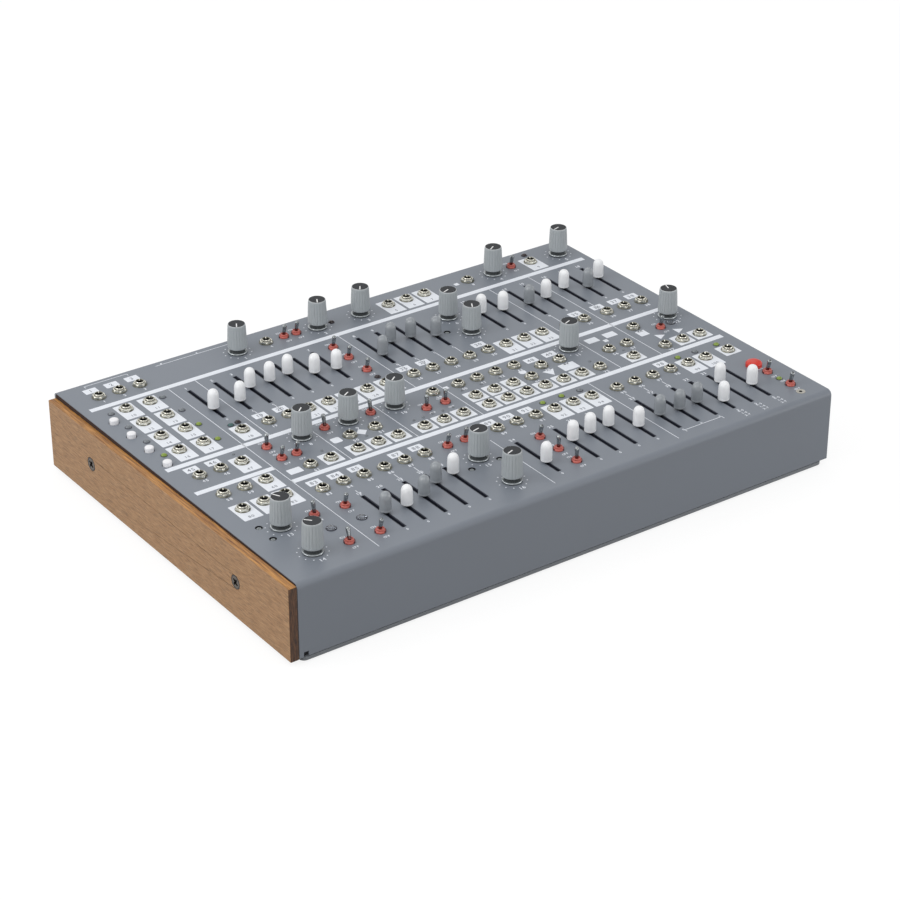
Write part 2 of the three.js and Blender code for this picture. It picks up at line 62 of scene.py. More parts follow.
forward = Vector((
    -math.sin(AZIMUTH) * math.cos(ELEVATION),
    math.cos(AZIMUTH) * math.cos(ELEVATION),
    -math.sin(ELEVATION)))
level = Vector((math.cos(AZIMUTH), math.sin(AZIMUTH), 0))
upright = level.cross(forward)
right = level * math.cos(ROLL) + upright * math.sin(ROLL)
up = upright * math.cos(ROLL) - level * math.sin(ROLL)
lower_corner = Vector((cover_low.x, cover_low.y, cheek_low.z))
stand = lower_corner + (AIM + right * SIDEWAYS - up * BELOW - forward * DISTANCE) * MM


def added(name, data):
    """A new object, added to the scene."""
    thing = bpy.data.objects.new(name, data)
    bpy.context.scene.collection.objects.link(thing)
    return thing


lens = bpy.data.cameras.new("camera")
lens.lens = LENS
lens.sensor_width = SENSOR
lens.clip_end = 20
camera = added("camera", lens)
camera.matrix_world = Matrix.Translation(stand) @ Matrix((right, up, -forward)).transposed().to_4x4()
bpy.context.scene.camera = camera

# Steel cover: one sheet, folded down at the front and the rear, with every hole and slot
# punched before the folds. Satin blue-grey powder coat with a fine orange peel.
panel_corner = Vector((cover_low.x, cover_low.y, cover_high.z))
panel_width = (cover_high.x - cover_low.x) / MM
panel_depth = (cover_high.y - cover_low.y) / MM
apron_drop = (cover_high.z - cover_low.z) / MM
DRAWING_WIDTH, DRAWING_DEPTH = 430, 303
SHEET = 1.6
FRONT_BEND, REAR_BEND = 4, 2.4
BEND_STEPS = 10
FLANGE_INSET = 0.4
SLOT_WIDTH, SLOT_LENGTH, SLOT_CORNER = 3.4, 47.2, 0.5
NOTCH_LEFT, NOTCH_WIDTH, NOTCH_HEIGHT = 3.2, 3.6, 3.4


def on_drawing(x, y):
    """A place read on the panel's drawing, in millimetres from the panel's corner."""
    return x * panel_width / DRAWING_WIDTH, y * panel_depth / DRAWING_DEPTH


def srgb(red, green, blue):
    """A colour as seen on a screen, 0 to 255, turned into scene values."""
    return [(v / 12.92 if v <= 0.04045 else ((v + 0.055) / 1.055) ** 2.4)
            for v in (red / 255, green / 255, blue / 255)]


def shade(colour, factor):
    return [min(v * factor, 1.0) for v in colour] + [1.0]


def feed(node, values):
    """Sets each named input of a node to a value, or joins it to another node's output."""
    for name, value in values.items():
        if isinstance(value, bpy.types.NodeSocket):
            node.id_data.links.new(value, node.inputs[name])
        else:
            node.inputs[name].default_value = value
    return node


def wired(tree, kind, output, values):
    """One output of a new node of a kind, with its inputs set or joined."""
    return feed(tree.nodes.new("ShaderNode" + kind), values).outputs[output]


def ramp(tree, source, low, high, first, last):
    """A colour that goes from the first to the last as the source goes from low to high."""
    tone = feed(tree.nodes.new("ShaderNodeValToRGB"), {"Fac": source})
    for stop, position, colour in zip(tone.color_ramp.elements, (low, high), (first, last)):
        stop.position = position
        stop.color = colour
    return tone.outputs["Color"]


def fresh(name):
    """A new material and its tree of nodes."""
    material = bpy.data.materials.new(name)
    material.use_nodes = True
    return material, material.node_tree


def coated(name, colour, roughness, metallic=0.0, blotch=0.05, blotch_size=9.0, grain=0.35,
           grain_size=0.5, spread=0.06, coat=0.0, specular=0.5):
    """Finish with slow blotches of colour and gloss and a fine grain, sizes in millimetres."""
    material, tree = fresh(name)
    place = wired(tree, "TexCoord", "Object", {})
    blotches = wired(tree, "TexNoise", "Fac", {"Scale": 1 / (blotch_size * MM), "Detail": 4, "Vector": place})
    gloss = wired(tree, "MapRange", "Result", {
        "From Min": 0.3, "From Max": 0.7, "To Min": max(roughness - spread, 0.02),
        "To Max": roughness + spread, "Value": blotches})
    fine = wired(tree, "TexNoise", "Fac", {"Scale": 1 / (grain_size * MM), "Detail": 2, "Vector": place})
    bump = wired(tree, "Bump", "Normal", {
        "Strength": grain, "Distance": grain_size * MM / 12, "Height": fine})
    feed(tree.nodes["Principled BSDF"], {
        "Metallic": metallic, "Coat Weight": coat, "Specular IOR Level": specular,
        "Base Color": ramp(tree, blotches, 0.3, 0.7, shade(colour, 1 - blotch), shade(colour, 1 + blotch)),
        "Roughness": gloss, "Normal": bump})
    return material


def ring(radius, steps, x=0.0, y=0.0, turn=0.0):
    """Points of a circle, anticlockwise, the first one turned from the X axis."""
    angles = [turn + 2 * math.pi * i / steps for i in range(steps)]
    return [(x + radius * math.cos(angle), y + radius * math.sin(angle)) for angle in angles]


def oblong(x, y, width, depth, corner=0.0, steps=4):
    """Points of a rectangle round a centre, anticlockwise, with round corners."""
    half_x, half_y = width / 2 - corner, depth / 2 - corner
    if not corner:
        return [(x - half_x, y - half_y), (x + half_x, y - half_y),
                (x + half_x, y + half_y), (x - half_x, y + half_y)]
    points = []
    for quarter, (sign_x, sign_y) in enumerate(((1, 1), (-1, 1), (-1, -1), (1, -1))):
        for i in range(steps + 1):
            angle = (quarter + i / steps) * math.pi / 2
            points.append((x + sign_x * half_x + corner * math.cos(angle),
                           y + sign_y * half_y + corner * math.sin(angle)))
    return points


def inside(point, loop):
    """Whether a point lies in a closed loop, by the crossings to its right."""
    crossings = 0
    for (x0, y0), (x1, y1) in zip(loop, loop[1:] + loop[:1]):
        if (y0 > point.y) != (y1 > point.y):
            crossings += point.x < x0 + (point.y - y0) * (x1 - x0) / (y1 - y0)
    return crossings % 2 == 1


def turning(loop):
    return sum(x0 * y1 - x1 * y0 for (x0, y0), (x1, y1) in zip(loop, loop[1:] + loop[:1]))


def plate(outline, holes, low, high, skin=0):
    """Flat plate between two heights with holes through it, as points, faces and finishes."""
    loops = [outline if turning(outline) > 0 else outline[::-1]]
    loops += [hole if turning(hole) < 0 else hole[::-1] for hole in holes]
    flat, edges, owners = [], [], []
    for owner, loop in enumerate(loops):
        start = len(flat)
        edges += [(start + i, start + (i + 1) % len(loop)) for i in range(len(loop))]
        flat += [Vector(point) for point in loop]
        owners += [owner] * len(loop)
    _, _, triangles, sources, _, _ = delaunay_2d_cdt(flat, edges, [], 1, 1e-6)
    count = len(flat)
    points = [Vector((p.x, p.y, high)) for p in flat] + [Vector((p.x, p.y, low)) for p in flat]
    faces = []
    for triangle in triangles:
        top = [sources[i][0] for i in triangle]
        shared = {owners[i] for i in top}
        if len(shared) == 1:
            owner = shared.pop()
            middle = sum((flat[i] for i in top), Vector((0, 0))) / 3
            if inside(middle, loops[owner]) != (owner == 0):
                continue
        faces.append(top)
        faces.append([count + i for i in reversed(top)])
    faces += [(count + a, count + b, b, a) for a, b in edges]
    return points, faces, [skin] * len(faces)


def across(part):
    """A plate drawn in X and Y stood up: its Y becomes height and its height becomes depth."""
    points, faces, skins = part
    return [Vector((p.x, -p.z, p.y)) for p in points], faces, skins


def sideways(part):
    """A plate drawn in X and Y stood up to face along X: its X becomes depth, its Y height."""
    points, faces, skins = part
    return [Vector((p.z, p.x, p.y)) for p in points], faces, skins


def bar(x0, x1, y0, y1, z0, z1, skin=0):
    """A square block between two limits along each axis."""
    return plate([(x0, y0), (x1, y0), (x1, y1), (x0, y1)], [], z0, z1, skin)


def built(name, parts, finishes, body, place=panel_corner, sharp=38.0):
    """One object from parts in millimetres, shaded smooth up to a sharp angle."""
    points, faces, skins = [], [], []
    for part_points, part_faces, part_skins in parts:
        start = len(points)
        points += [point * MM for point in part_points]
        faces += [[start + i for i in face] for face in part_faces]
        skins += part_skins
    mesh = bpy.data.meshes.new(name)
    mesh.from_pydata(points, [], faces)
    mesh.polygons.foreach_set("material_index", skins)
    mesh.polygons.foreach_set("use_smooth", [True] * len(faces))
    mesh.set_sharp_from_angle(angle=math.radians(sharp))
    for material in finishes:
        mesh.materials.append(material)
    return placed(name, mesh, body, place)


def placed(name, mesh, body, place):
    """One object with a mesh of its own or a shared one, riding on a body."""
    piece = added(name, mesh)
    piece.location = place
    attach(piece, body)
    return piece


POST_HOLE, SHAFT_HOLE, NECK_HOLE = 3.7, 3.6, 3.2
WHITE_BUTTON_HOLE, RED_BUTTON_HOLE = 3.65, 5.85
TRIMMER_HOLE, RINGED_HOLE = 2.5, 2.2
HOLE_STEPS = 24
JACK_PITCH, COLUMN_PITCH = 15.78, 23.2
# Each run of jacks: its first place on the drawing and how many follow at the pitch
JACK_RUNS = [
    (21.1, 279.1, 3), (156.8, 283.5, 1), (260.8, 283.5, 3), (331.3, 283.5, 1), (388.7, 282.7, 1),
    (75.5, 183.7, 1), (96.0, 183.7, 7), (213.3, 183.7, 8), (345.4, 183.3, 2), (381.8, 183.0, 3),
    (20.9, 147.2, 3), (20.9, 118.2, 3), (86.4, 118.2, 2), (123.4, 118.2, 3), (176.3, 118.2, 3),
    (229.2, 118.2, 7), (353.2, 117.6, 1), (381.8, 117.9, 3), (128.9, 136.3, 1), (149.0, 136.3, 1),
    (229.2, 133.6, 4), (345.6, 135.4, 2), (208.1, 153.8, 1), (229.2, 153.8, 4), (381.4, 152.7, 1),
    (292.1, 143.2, 2), (20.9, 95.2, 3), (75.8, 87.8, 6), (213.6, 87.8, 6), (313.8, 87.3, 6),
    (413.0, 87.1, 1),
]
column_jacks = [(x, 183.7 + i * COLUMN_PITCH) for x in (27.4, 45.7) for i in range(4)]
jacks = [(x + i * JACK_PITCH, y) for x, y, count in JACK_RUNS for i in range(count)] + column_jacks
TOGGLES = [
    (171.6, 283.5, -1), (181.8, 283.4, -1), (371.6, 284.0, -1), (190.1, 248.6, -1), (190.5, 229.8, -1),
    (190.5, 207.3, -1), (75.6, 153.9, 0), (75.6, 135.7, -1), (87.1, 135.7, -1), (120.7, 154.0, 1),
    (157.4, 154.0, 1), (191.6, 137.7, 0), (207.0, 137.7, 0), (397.0, 141.3, -1), (172.6, 87.2, -1),
    (186.9, 87.4, -1), (53.2, 62.9, 1), (53.0, 23.5, 1), (75.2, 61.3, -1), (75.5, 22.9, -1),
    (228.8, 61.8, -1), (228.8, 42.0, 0), (228.9, 23.1, 0), (412.5, 45.5, -1), (413.1, 22.9, -1),
]
TRIMMERS = [(17, 70), (17, 53.8), (167.5, 53.5), (190.5, 54.3), (269.6, 223)]
RINGED_SOCKET = (412, 11.3)


def centre_of(node):
    """The middle of a node's box, in millimetres from the panel's front left corner."""
    low, high = (Vector(corner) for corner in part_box(node))
    middle = ((low + high) / 2 - panel_corner) / MM
    return middle.x, middle.y


moving = [joint["child"] for joint in frame["joints"]]
knobs = [name for name in moving if name.startswith("knob")]
sliders = [name for name in moving if name.startswith("slider")]
white_buttons = [name for name in moving if name.startswith("white_button")]
slots = []
for joint in frame["joints"]:
    if joint["child"] in sliders:
        x, y = centre_of(joint["child"])
        slots.append((x, y + sum(joint["range_m"]) / 2 / MM))

holes = [ring(POST_HOLE, HOLE_STEPS, *on_drawing(x, y)) for x, y in jacks]
holes += [ring(NECK_HOLE, HOLE_STEPS, *on_drawing(x, y)) for x, y, lean in TOGGLES]
holes += [ring(SHAFT_HOLE, HOLE_STEPS, *centre_of(name)) for name in knobs]
holes += [ring(WHITE_BUTTON_HOLE, HOLE_STEPS, *centre_of(name)) for name in white_buttons]
holes += [ring(RED_BUTTON_HOLE, HOLE_STEPS, *centre_of("red_button"))]
holes += [ring(TRIMMER_HOLE, HOLE_STEPS, *on_drawing(*place)) for place in TRIMMERS]
holes += [ring(RINGED_HOLE, HOLE_STEPS, *on_drawing(*RINGED_SOCKET))]
holes += [oblong(x, y, SLOT_WIDTH, SLOT_LENGTH, SLOT_CORNER, 3) for x, y in slots]
top = plate([(0, FRONT_BEND), (panel_width, FRONT_BEND), (panel_width, panel_depth - REAR_BEND),
             (0, panel_depth - REAR_BEND)], holes, -SHEET, 0)


def rolled_edge(bend):
    """Quarter bend of the sheet, drawn in Y and Z and swept along the width."""
    angles = [i * math.pi / 2 / BEND_STEPS for i in range(BEND_STEPS + 1)]
    outer = [(bend - bend * math.sin(a), bend * math.cos(a) - bend) for a in angles]
    inner = [(bend - (bend - SHEET) * math.sin(a), (bend - SHEET) * math.cos(a) - bend) for a in angles]
    return sideways(plate(outer + inner[::-1], [], 0, panel_width))


INLET_X, INLET_HOLE = 280.8, 4.95
PORT_X, PORT_HOLE = 330.7, (9.9, 4.1, 1.2)
CONNECTOR_HEIGHT = -31.9
notch = [(NOTCH_LEFT, -apron_drop), (NOTCH_LEFT, NOTCH_HEIGHT - apron_drop),
         (NOTCH_LEFT + NOTCH_WIDTH, NOTCH_HEIGHT - apron_drop), (NOTCH_LEFT + NOTCH_WIDTH, -apron_drop)]
front_roll = rolled_edge(FRONT_BEND)
front_apron = across(plate(
    [(0, -FRONT_BEND), (0, -apron_drop)] + notch + [(panel_width, -apron_drop), (panel_width, -FRONT_BEND)],
    [], -SHEET, 0))
rear_points, rear_faces, rear_skins = rolled_edge(REAR_BEND)
rear_roll = ([Vector((p.x, panel_depth - p.y, p.z)) for p in rear_points],
             [face[::-1] for face in rear_faces], rear_skins)
rear_apron = across(plate(
    [(0, -REAR_BEND), (0, -apron_drop), (panel_width, -apron_drop), (panel_width, -REAR_BEND)],
    [ring(INLET_HOLE, HOLE_STEPS, INLET_X, CONNECTOR_HEIGHT), oblong(PORT_X, CONNECTOR_HEIGHT, *PORT_HOLE)],
    -panel_depth, SHEET - panel_depth))
flanges = [bar(x, x + SHEET, SHEET, panel_depth - SHEET, -apron_drop, -SHEET)
           for x in (FLANGE_INSET, panel_width - FLANGE_INSET - SHEET)]

powder_coat = coated(
    "powder_coat", srgb(126, 132, 141), 0.42, blotch=0.025, blotch_size=60, grain=0.25, grain_size=0.6)
cover = built(
    "cover", [top, front_roll, front_apron, rear_roll, rear_apron] + flanges, [powder_coat], "case")
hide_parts("front_panel")

# Slot liners: thin mouldings that line each slot and leave a slit for the flat lever
# of the slide control, pushed in from below. Their bluish black is painted shade for the dark down the slot.
LINER_GAP, LINER_SLIT, LINER_END = 0.02, 1.7, 0.3
LINER_TOP, LINER_BOTTOM = -0.2, -SHEET - 0.2
liner_parts = [plate(
    oblong(x, y, SLOT_WIDTH - 2 * LINER_GAP, SLOT_LENGTH - 2 * LINER_GAP, SLOT_CORNER - LINER_GAP, 3),
    [oblong(x, y, LINER_SLIT, SLOT_LENGTH - 2 * LINER_END)], LINER_BOTTOM, LINER_TOP) for x, y in slots]
# Bluish black: painted shade for the depth of the slot
liner_painted_shade = coated("liner_painted_shade", srgb(30, 34, 48), 0.55, blotch=0.1, blotch_size=4)
slot_liners = built("slot_liners", liner_parts, [liner_painted_shade], "case")

# Base tray: a shallow steel pan whose rim shows as a thin strip under the cover, with a
# black block behind the cover's notch, painted shade for the dark seen through it, and four
# rubber feet, each held by a screw in its well.
tray_low, tray_high = (Vector(corner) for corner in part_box("base_tray"))
tray_left = (tray_low.x - panel_corner.x) / MM
tray_right = (tray_high.x - panel_corner.x) / MM
ground = -panel_corner.z / MM
FOOT_HEIGHT, RIM_HEIGHT, UPSTAND_HEIGHT = 1.5, 2.5, 9
FOOT_RADIUS, FOOT_INSET = 7, 34
TRAY_SHEET, TRAY_BACK = 1.2, 1.95
NOTCH_SHADE_PLAY = 0.05
tray_bottom = ground + FOOT_HEIGHT


def tray_outline(inset, corner, steps):
    """The tray's outline, drawn in by an inset on every side."""
    return oblong((tray_left + tray_right) / 2, panel_depth / 2, tray_right - tray_left - 2 * inset,
                  panel_depth - 2 * inset, corner, steps)


def softened(piece, width, segments=2):
    """Rounds the edges of a piece by a width in millimetres."""
    bevel = piece.modifiers.new("edges", "BEVEL")
    bevel.width = width * MM
    bevel.segments = segments
    bevel.limit_method = "ANGLE"
    bevel.angle_limit = math.radians(35)
    bevel.harden_normals = True
    return piece


floor_outline = tray_outline(0, 4, 6)
well_outline = tray_outline(TRAY_BACK + TRAY_SHEET, 2, 4)
step_outline = tray_outline(TRAY_BACK, 3, 4)
tray_parts = [
    plate(floor_outline, [], tray_bottom, tray_bottom + TRAY_SHEET),
    plate(floor_outline, [well_outline], tray_bottom + TRAY_SHEET, tray_bottom + RIM_HEIGHT),
    plate(step_outline, [well_outline], tray_bottom + RIM_HEIGHT, tray_bottom + UPSTAND_HEIGHT),
]
# Black moulding for the real black parts, also used as painted shade: the block behind the notch, the tracks
# seen down the slots, the jack barrels under the nuts and the trimmer wells
black_moulding_and_shade = coated(
    "black_moulding_and_shade", srgb(13, 14, 18), 0.55, blotch=0.1, blotch_size=4, specular=0.3)
# Black block behind the notch: painted shade seen through the notch
notch_shade = built("notch_shade_block", [bar(
    NOTCH_LEFT, NOTCH_LEFT + NOTCH_WIDTH, SHEET + NOTCH_SHADE_PLAY, TRAY_BACK - NOTCH_SHADE_PLAY,
    -apron_drop, NOTCH_HEIGHT - apron_drop)], [black_moulding_and_shade], "case")
tray_coat = coated("tray_coat", srgb(122, 126, 131), 0.45, blotch=0.04, blotch_size=40, grain_size=0.6)
tray = softened(built("tray", tray_parts, [tray_coat], "case"), 0.35)
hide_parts("base_tray")


def turned(profile, steps, skins=0, flute=None):
    """Solid of revolution about Z from (radius, height) points, as points, faces and finishes."""
    points, rings, faces, chosen = [], [], [], []
    for radius, height in profile:
        start = len(points)
        around = 1 if radius == 0 else steps
        for i in range(around):
            angle = 2 * math.pi * i / steps
            reach = radius * (flute(angle, height) if flute and radius else 1)
            points.append(Vector((reach * math.cos(angle), reach * math.sin(angle), height)))
        rings.append([start + i for i in range(around)])
    if profile[0][0]:
        rings.append(rings[0])
    for band, (low, high) in enumerate(zip(rings, rings[1:])):
        for i in range(steps):
            j = (i + 1) % steps
            face = [low[i % len(low)], low[j % len(low)], high[j % len(high)], high[i % len(high)]]
            faces.append(list(dict.fromkeys(face)))
            chosen.append(skins if isinstance(skins, int) else skins[band])
    return points, faces, chosen


def moved(part, x=0.0, y=0.0, z=0.0, turn=0.0, tilt=0.0):
    """A copy of a part, tilted about X, turned about Z and shifted."""
    place = Matrix.Translation((x, y, z)) @ Matrix.Rotation(turn, 4, "Z") @ Matrix.Rotation(tilt, 4, "X")
    points, faces, skins = part
    return [place @ point for point in points], faces, skins


foot = turned([
    (0, 1.1), (2.0, 1.1), (2.2, 0.4), (2.6, 0.05), (3.2, 0), (6.3, 0), (6.85, 0.3), (FOOT_RADIUS, 0.8),
    (FOOT_RADIUS, FOOT_HEIGHT), (0, FOOT_HEIGHT)], 40)
foot_screw = turned([(0, 0.75), (1.6, 0.8), (1.75, 1.1), (0, 1.1)], 24, 1)
feet = []
for foot_x in (FOOT_INSET, panel_width - FOOT_INSET):
    for foot_y in (FOOT_INSET, panel_depth - FOOT_INSET):
        feet += [moved(foot, foot_x, foot_y, ground), moved(foot_screw, foot_x, foot_y, ground)]
rubber = coated("rubber", srgb(42, 42, 44), 0.75, blotch=0.1, grain=0.5, grain_size=0.4)
black_steel = coated(
    "black_steel", srgb(38, 37, 38), 0.36, metallic=0.5, blotch=0.15, blotch_size=2, grain_size=0.3)
feet_piece = built("feet", feet, [rubber, black_steel], "case")
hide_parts("base_tray")

# Wooden cheek: an oiled hardwood board, its top edge planed a little lower to the rear.
# The long grain runs front to rear and the ends show darker end grain.
cheek_out = (cheek_low.x - panel_corner.x) / MM
cheek_in = (cheek_high.x - panel_corner.x) / MM
cheek_foot = (cheek_low.z - panel_corner.z) / MM
FRONT_FALL, REAR_FALL = 1.0, 2.9
SCREW_PLACES = (0.204, 0.805)
SCREW_RISE, HEAD_RADIUS, HEAD_PLAY = 26.3, 4.7, 0.15
REAR_SHORT = 2.8
screws = [(share * panel_depth, cheek_foot + SCREW_RISE) for share in SCREW_PLACES]
cheek_back = panel_depth - REAR_SHORT
cheek_outline = [
    (0, cheek_foot), (cheek_back, cheek_foot), (cheek_back, -REAR_FALL), (0, -FRONT_FALL)]
board = sideways(plate(
    cheek_outline, [ring(HEAD_RADIUS + HEAD_PLAY, 36, *screw) for screw in screws], cheek_out, cheek_in))


def wooden(name, light, dark, roughness, stretch, turn=(0, 0, 0)):
    """Wood whose rings and pores are drawn out by the stretch, in millimetres along X, Y and Z."""
    material, tree = fresh(name)
    along = wired(tree, "Mapping", "Vector", {
        "Scale": [1 / (length * MM) for length in stretch], "Rotation": turn,
        "Vector": wired(tree, "TexCoord", "Object", {})})
    rings = wired(tree, "TexNoise", "Fac", {
        "Scale": 1, "Detail": 6, "Roughness": 0.62, "Distortion": 0.35, "Vector": along})
    pores = wired(tree, "TexNoise", "Fac", {"Scale": 1.9, "Detail": 2, "Vector": along})
    depth = wired(tree, "MapRange", "Result", {
        "From Min": 0.34, "From Max": 0.47, "To Min": 0.64, "Value": pores})
    darken = tree.nodes.new("ShaderNodeMix")
    darken.data_type = "RGBA"
    darken.blend_type = "MULTIPLY"
    feed(darken, {
        "Factor": 1, "A": ramp(tree, rings, 0.34, 0.66, dark + [1.0], light + [1.0]), "B": depth})
    gloss = wired(tree, "MapRange", "Result", {
        "To Min": roughness + 0.12, "To Max": roughness - 0.08, "Value": rings})
    bump = wired(tree, "Bump", "Normal", {"Strength": 0.35, "Distance": 0.06 * MM, "Height": depth})
    feed(tree.nodes["Principled BSDF"], {
        "Base Color": darken.outputs["Result"], "Roughness": gloss, "Normal": bump})
    return material


long_grain = wooden(
    "long_grain", srgb(191, 149, 106), srgb(156, 115, 76), 0.5, (1.6, 10.0, 0.85), (0.01, 0, 0))
planed_edge = wooden("planed_edge", srgb(204, 147, 77), srgb(124, 77, 38), 0.42, (1.1, 24.0, 3.0))
end_grain = wooden(
    "end_grain", srgb(112, 76, 50), srgb(36, 22, 14), 0.6, (1.3, 3.0, 8.0), (0, 0.7, 0))
board_skins = []
for face in board[1]:
    a, b, c = (board[0][i] for i in face[:3])
    normal = (b - a).cross(c - a).normalized()
    at_an_end = abs(normal.y) > 0.9 and len(face) == 4 and not 1 < a.y < cheek_back - 1
    board_skins.append(1 if normal.z > 0.9 else 2 if at_an_end else 0)
cheek = softened(built(
    "cheek", [(board[0], board[1], board_skins)], [long_grain, planed_edge, end_grain], "case"), 0.5, 3)
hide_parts("left_cheek")

# Joint shade: a thin dark strip in the joint between the cheek and the cover, which
# shows as a dark line all along it: a painted shadow for the gap there.
SHADE_STRIP, SHADE_STRIP_DROP, SHADE_STRIP_FRONT, SHADE_STRIP_RISE = 0.3, 0.35, 1.7, 2
shade_strip_in = (cheek_in - SHADE_STRIP) / 2
joint_shade_dark = coated("joint_shade_dark", srgb(62, 46, 40), 0.95, blotch=0.2, blotch_size=2, grain=0.8, grain_size=0.3)
joint_shade_piece = built("joint_shade_strip", [bar(
    shade_strip_in, shade_strip_in + SHADE_STRIP, SHADE_STRIP_FRONT, cheek_back, cheek_foot + SHADE_STRIP_RISE, -SHADE_STRIP_DROP)],
    [joint_shade_dark], "case")

# Cheek screws: two black cross-head countersunk screws, flush with the wood and worn on
# the face, which pull the cheek to a tapped strip inside the cover.
CROSS_REACH, CROSS_WIDTH = 2.8, 0.85
HEAD_FACE, HEAD_DEPTH = 3.95, 1.2
# The arms of each cross lie askew on the wood: how far they run along it and upward
ALONG, UPWARD = 0.8, 0.6
arm = [(CROSS_WIDTH, CROSS_REACH), (-CROSS_WIDTH, CROSS_REACH), (-CROSS_WIDTH, CROSS_WIDTH)]
cross = []
for quarter in range(4):
    cross += arm
    arm = [(-y, x) for x, y in arm]
head_rim = plate(ring(HEAD_RADIUS, 40), [ring(HEAD_FACE, 40)], 0.05, HEAD_DEPTH)
head_face = plate(ring(HEAD_FACE, 40), [cross], 0.1, HEAD_DEPTH, 1)
head_back = turned([(0, HEAD_DEPTH), (HEAD_RADIUS, HEAD_DEPTH), (2, 4.2), (2, 8.4), (0, 8.4)], 40)
fixings = []
for screw_y, screw_z in screws:
    for points, faces, skins in (head_rim, head_face, head_back):
        fixings.append((
            [Vector((cheek_out + p.z, screw_y - p.x * ALONG - p.y * UPWARD,
                     screw_z - p.x * UPWARD + p.y * ALONG)) for p in points],
            [face[::-1] for face in faces], skins))
STRIP_THICKNESS, STRIP_HEIGHT, STRIP_OVERHANG = 3, 11, 12
strip_left = FLANGE_INSET + SHEET + 0.35
fixings.append(bar(
    strip_left, strip_left + STRIP_THICKNESS, screws[0][0] - STRIP_OVERHANG, screws[1][0] + STRIP_OVERHANG,
    screws[0][1] - STRIP_HEIGHT / 2, screws[0][1] + STRIP_HEIGHT / 2))
worn_steel = coated(
    "worn_steel", srgb(92, 85, 78), 0.3, metallic=1.0, blotch=0.3, blotch_size=1.5, grain_size=0.3)
cheek_screws = built("cheek_screws", fixings, [black_steel, worn_steel], "case")
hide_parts("cheek_fixings")

# Circuit board: green-black laminate below the panel that carries the tracks of the slide
# controls, the rotary housings and the bodies of the jacks, all in black moulding.
BOARD_EDGE, BOARD_THICKNESS = 4.4, 1.6
# Half the width, half the depth and the height of each body that stands on the board
TRACK, HOUSING, JACK_BODY = (3.7, 27.6, 6.6), (5, 5, 6.4), (4.5, 5.5, 8.6)
TRACK_GAP, CLEARANCE = 2.4, 0.35
board_top = -SHEET - TRACK_GAP - TRACK[2]


def body_on_board(x, y, half_x, half_y, height):
    return bar(x - half_x, x + half_x, y - half_y, y + half_y, board_top, board_top + height, 1)


under = [bar(
    BOARD_EDGE, panel_width - BOARD_EDGE, BOARD_EDGE, panel_depth - BOARD_EDGE,
    board_top - BOARD_THICKNESS, board_top)]
under += [body_on_board(x, y, *TRACK) for x, y in slots]
under += [body_on_board(*centre_of(name), *HOUSING) for name in knobs]
under += [body_on_board(*on_drawing(x, y), *JACK_BODY) for x, y in jacks]
laminate = coated("laminate", srgb(24, 38, 30), 0.4, blotch=0.1)
circuit = built("circuit_board", under, [laminate, black_moulding_and_shade], "case")
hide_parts("control_board")

# Rear connectors: a round power inlet with a centre pin and a small port in a steel shell,
# both soldered to an upright board behind the rear apron.
INLET_RIM, INLET_BORE, INLET_PIN = 4.6, 2.9, 0.95
PORT_SHELL, PORT_MOUTH, PORT_TONGUE = (9.2, 3.4, 1.1), (8.2, 2.5, 0.8), (6.6, 0.8)
BACKING_LEFT, BACKING_RIGHT, BACKING_INSET, BACKING_DROP = 271, 353, 9, 10
inlet_parts = [
    across(plate(ring(INLET_RIM, 36), [ring(INLET_BORE, 36)], -6.2, -1.2)),
    across(plate(ring(INLET_BORE, 36), [], -6.4, -6)),
    across(plate(ring(INLET_PIN, 20), [], -6, -1.8, 1)),
]
port_parts = [
    across(plate(oblong(0, 0, *PORT_SHELL), [oblong(0, 0, *PORT_MOUTH)], -7, -0.9, 1)),
    across(plate(oblong(0, 0, *PORT_TONGUE), [], -7, -2)),
    across(plate(oblong(0, 0, *PORT_SHELL), [], -7.4, -7)),
]
connectors = [moved(part, INLET_X, panel_depth, CONNECTOR_HEIGHT, math.pi) for part in inlet_parts]
connectors += [moved(part, PORT_X, panel_depth, CONNECTOR_HEIGHT, math.pi) for part in port_parts]
connectors.append(bar(
    BACKING_LEFT, BACKING_RIGHT, panel_depth - BACKING_INSET - BOARD_THICKNESS, panel_depth - BACKING_INSET,
    CONNECTOR_HEIGHT - BACKING_DROP, board_top, 2))
bright_steel = coated("bright_steel", srgb(205, 205, 205), 0.22, metallic=1.0, blotch=0.05, blotch_size=2)
rear_sockets = built("rear_sockets", connectors, [black_moulding_and_shade, bright_steel, laminate], "case")
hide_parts("control_board")

# Patch jacks: each comes up through the panel and is held by a six-sided nut on a washer,
# nickel over brass, with a bright mouth round a dark bore. The washer and the inside of the
# mouth are a darker nickel, painted shade; the barrel under the nut is black, painted shade in
# that gap; and a bright blade at the rear of each bore is a painted highlight for the glint there.
NUT_STEPS = 72
SIXTH = math.pi / 3


def six_sided(angle, height):
    """Radius of a hexagon over that of its corners, fading to a circle at the chamfered top."""
    flat = math.cos(SIXTH / 2) / math.cos(angle % SIXTH - SIXTH / 2)
    return flat + (1 - flat) * min(max((height - 1.5) / 0.5, 0), 1)


def set_out(parts, places):
    """Copies of some parts at every place on the drawing."""
    return [moved(part, *on_drawing(*place)) for place in places for part in parts]


washer = turned([(3.2, 0.02), (5.0, 0.02), (5.1, 0.08), (5.1, 0.2), (5.0, 0.3), (3.2, 0.3)], 48, 2)
nut = turned([
    (3.2, 0.32), (5.02, 0.32), (5.08, 0.45), (4.78, 1.5), (4.4, 1.85), (4.0, 2.06), (3.6, 2.1), (3.35, 1.9)],
    NUT_STEPS, 0, six_sided)
